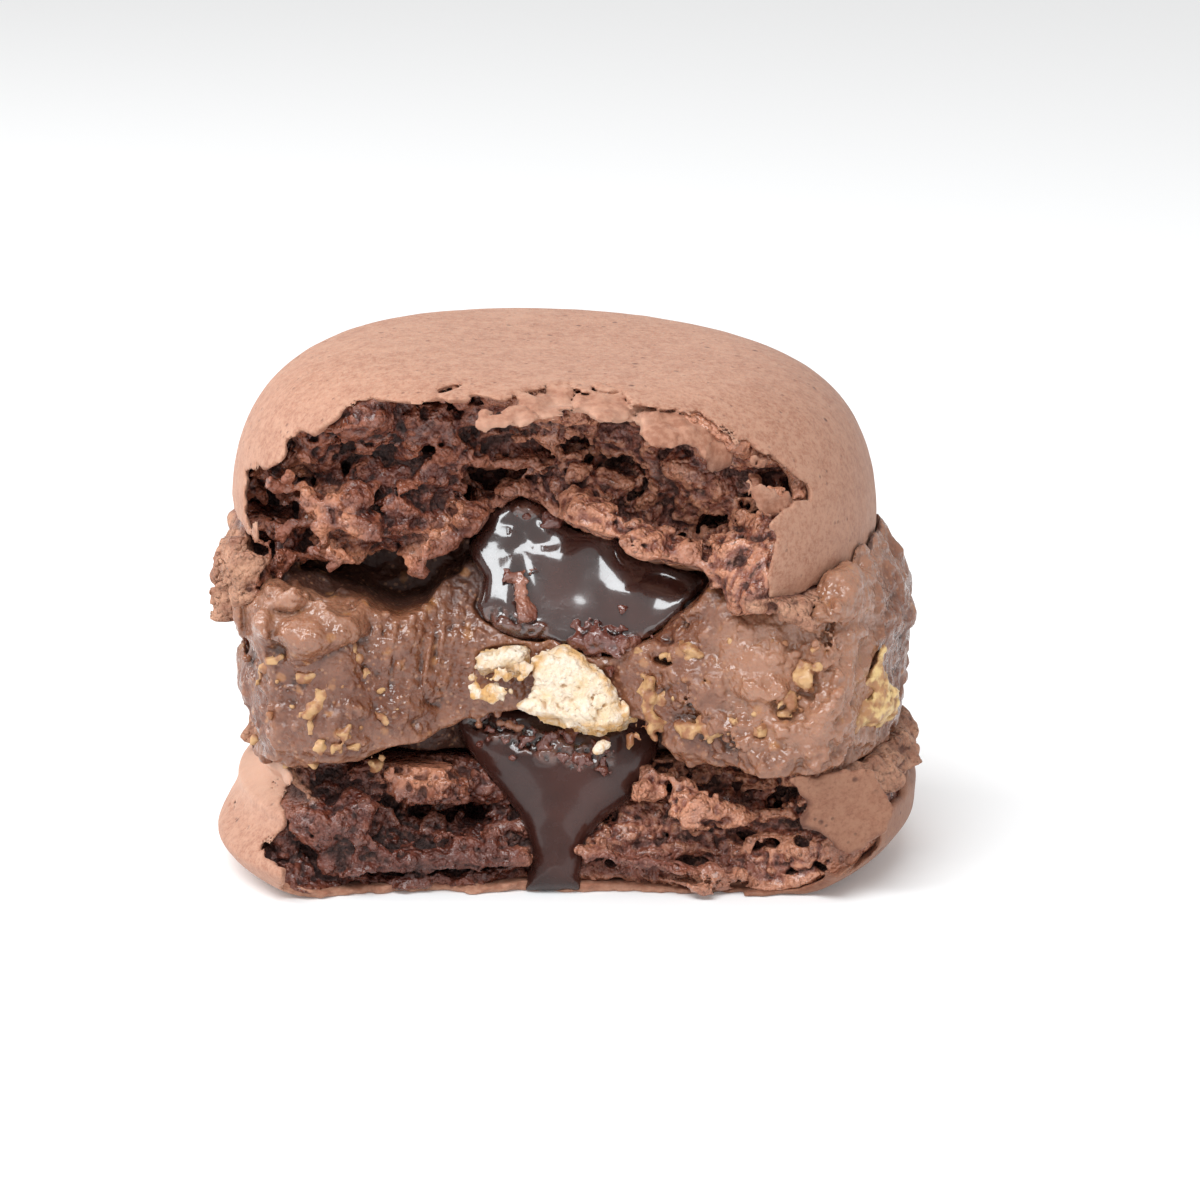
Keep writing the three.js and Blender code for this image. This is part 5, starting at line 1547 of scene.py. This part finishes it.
def base_pieces(crust, crumb):
    g, outer = build_base_crust()
    v, q = finished(g, 2, 0.35)
    d, _ = base_distance(v[:, 0], v[:, 1], v[:, 2])
    px, py = seen_at(*v.T)
    own = 1 - (v[:, 1] < -9) * smooth(0.1, -0.3, Outline(RIGHT_FLAKE)(px, py))
    # painted shade: the bottom crust darkens towards the right, and where it lies deep under its outer face
    painted_shade = smooth(620, 760, px) * (v[:, 1] < 0)
    mesh_piece("bottom_crust", v, q, {"inner": own * smooth(0.12, 0.4, -d), "deep": own * smooth(1.0, 2.2, -d) * 0.5, "painted_shade": painted_shade, "lit": 0.95 * bump2(px, py, 266, 768, 30, 32)}, crust, "bottom_shell", 66000)
    for name, front, most in (("bottom_crumb", True, 160000), ("bottom_back", False, 30000)):
        g = build_base_crumb(front)
        v, q = finished(g)
        d, foot = base_distance(v[:, 0], v[:, 1], v[:, 2])
        px, py = seen_at(*v.T)
        lip = np.maximum(bump2(px, py, 268, 775, 28, 36), 0.75 * bump2(px, py, 420, 776, 44, 20)) * (v[:, 1] < -6)
        # painted shade on the left of the bottom crumb, none of it on the lips
        painted_shade = smooth(560, 500, px) * (v[:, 1] < -2)
        # tip is lowered on the left and along the bottom layers: more painted shade there
        tip = (tips(g, v, 0.3, 1.3, 2.7) if front else tips(g, v)) * (1 - 0.28 * painted_shade) * (1 - 0.45 * np.maximum(bump2(px, py, 430, 862, 110, 20), 1.4 * bump2(px, py, 640, 864, 90, 16)) * (v[:, 1] < -6))
        mesh_piece(name, v, q, {"tip": tip, "foot": foot * smooth(1.4, 0.4, -d), "lip": lip, "painted_shade": painted_shade * (1 - lip)}, crumb, "bottom_shell", most)


def soft_pieces(cream, ganache, biscuit, stained):
    for name, front, most in (("filling_cream", True, 185000), ("filling_back", False, 30000)):
        g = build_filling(front)
        v, q = finished(g, 1, 0.3)
        px, py = seen_at(*v.T)
        smear = np.clip(bump2(px, py, 430, 645, 60, 60) + bump2(px, py, 885, 620, 22, 70), 0, 1) * (v[:, 1] < 0)
        # deep: painted shade on cream set back behind the bite's front and in the cave, and a little on the lower-left
        # bulge
        deep = np.maximum(smooth(-10.6, -7.6, v[:, 1]), smooth(-10.0, -8.6, v[:, 1]) * (v[:, 2] < 13.4)) * (v[:, 1] < 2) * (np.hypot(v[:, 0], v[:, 1]) < 23)
        deep = np.maximum(deep, 0.3 * bump2(px, py, 312, 716, 60, 46) * (v[:, 1] < 0))
        pale = 0.75 * smooth(690, 800, px) * smooth(905, 860, px) + 0.75 * bump2(px, py, 760, 660, 62, 52) + 0.8 * bump2(px, py, 300, 610, 80, 32)
        mesh_piece(name, v, q, {"tip": tips(g, v, 0.5, 1.6), "smear": smear, "deep": deep, "pale": np.clip(pale, 0, 1) * (1 - 0.4 * smooth(735, 765, py) * (px > 600))}, cream, "filling", most)
    g = build_ganache()
    v, q = surface(g)
    wet = soaked(*seen_at(*v.T)) * (v[:, 1] < -6)
    v = relax(v, q, 4, 0.5, 1 - 0.85 * wet)
    v, q, keep = largest_only(v, q, 150)
    px, py = seen_at(*v.T)
    wet = soaked(px, py) * (v[:, 1] < -6)
    mesh_piece("ganache_core", v, q, {"pool": smooth(14, 16, v[:, 2]), "wet": wet, "tip": tips(g, v, 0.3, 0.8)}, ganache, "ganache", 60000)
    for name, node, outline, y, lean, depth, seed in [
        ("biscuit_front", "biscuit_large", BIG_BISCUIT, -12.6, (0.0, 0.16), 3.4, 100),
        ("biscuit_left", "biscuit_small", SMALL_BISCUIT, -11.6, (0.0, 0.2), 2.4, 110),
        ("biscuit_right", "biscuit_side", SIDE_BISCUIT, -12.4, (0.9, 0.1), 2.6, 120),
    ]:
        look = stained if name == "biscuit_right" else biscuit
        g = build_biscuit(outline, y, lean, depth, seed)
        v, q = finished(g, 1, 0.3, 40)
        px, py = seen_at(*v.T)
        edge = smooth(-0.75, -0.1, Outline(outline, 40)(px, py))
        mesh_piece(name, v, q, {"tip": tips(g, v, 0.3, 0.8), "edge": edge}, look, node)


def crumb_pieces(wet, biscuit, stained):
    g = wet_crumbs()
    v, q = finished(g, 1, 0.3, 20)
    px, py = seen_at(*v.T)
    light = np.maximum(bump2(px, py, 523, 592, 14, 26), 0.7 * bump2(px, py, 630, 648, 8, 8))
    mesh_piece("wet_crumbs", v, q, {"tip": tips(g, v, 0.3, 0.8), "light": light}, wet, None)
    g = biscuit_crumbs()
    v, q = finished(g, 1, 0.3, 12)
    px, py = seen_at(*v.T)
    mesh_piece("biscuit_crumbs", v, q, {"tip": tips(g, v, 0.3, 0.8), "edge": smooth(650, 672, py) * smooth(660, 640, px)}, biscuit, None)
    g = stained_crumbs()
    v, q = finished(g, 1, 0.3, 12)
    mesh_piece("stained_crumbs", v, q, {"tip": tips(g, v, 0.3, 0.8)}, stained, None)


CRUST, CRUMB, CREAM, GANACHE, BISCUIT = crust_look(), crumb_look(), cream_look(), ganache_look(), biscuit_look()
top_pieces(CRUST, CRUMB)
base_pieces(CRUST, CRUMB)
STAINED, SIDE = bit_look("stained_biscuit"), bit_look("side_biscuit")
soft_pieces(CREAM, GANACHE, BISCUIT, SIDE)
crumb_pieces(wet_look(), BISCUIT, STAINED)


# ---- floor, light and camera ---------------------------------------------------------------------
def make_stage():
    bpy.ops.mesh.primitive_plane_add(size=4.0, location=(0, 0.6, 0))
    floor = bpy.context.object
    floor.name = "floor"
    look = Look("floor")
    floor.data.materials.append(look.finish((0.86, 0.86, 0.86, 1), 0.9, Emission_Color=(1, 1, 1, 1), Emission_Strength=0.1))
    world = bpy.data.worlds.new("world")
    bpy.context.scene.world = world
    world.use_nodes = True
    world.node_tree.nodes["Background"].inputs[0].default_value = (1, 1, 1, 1)
    world.node_tree.nodes["Background"].inputs[1].default_value = 0.67

    def area(name, at, to, size, power, color=(1, 1, 1)):
        data = bpy.data.lights.new(name, "AREA")
        data.shape = "RECTANGLE"
        data.size, data.size_y = size
        data.energy = power
        data.color = color
        o = bpy.data.objects.new(name, data)
        o.location = at
        o.rotation_euler = (Vector(to) - Vector(at)).to_track_quat("-Z", "Y").to_euler()
        bpy.context.scene.collection.objects.link(o)
        return o

    area("window", (-0.09, -0.27, 0.36), (0, 0, 0.022), (0.38, 0.2), 1.95, (0.93, 0.975, 1.0))
    area("top", (-0.10, 0.10, 0.45), (0, 0, 0.02), (0.25, 0.2), 0.2, (0.96, 0.98, 1.0))
    area("left", (-0.42, 0.08, 0.26), (0, 0, 0.02), (0.25, 0.25), 1.2)

    data = bpy.data.cameras.new("camera")
    camera = bpy.data.objects.new("camera", data)
    data.sensor_width = 36
    data.lens = PIXELS / 1200 * 36
    camera.location = EYE * MM
    camera.rotation_mode = "QUATERNION"
    camera.rotation_quaternion = Vector(AHEAD).to_track_quat("-Z", "Y")
    data.clip_start, data.clip_end = 0.01, 20
    bpy.context.scene.collection.objects.link(camera)
    bpy.context.scene.camera = camera
    bpy.context.scene.view_settings.view_transform = "Standard"


make_stage()
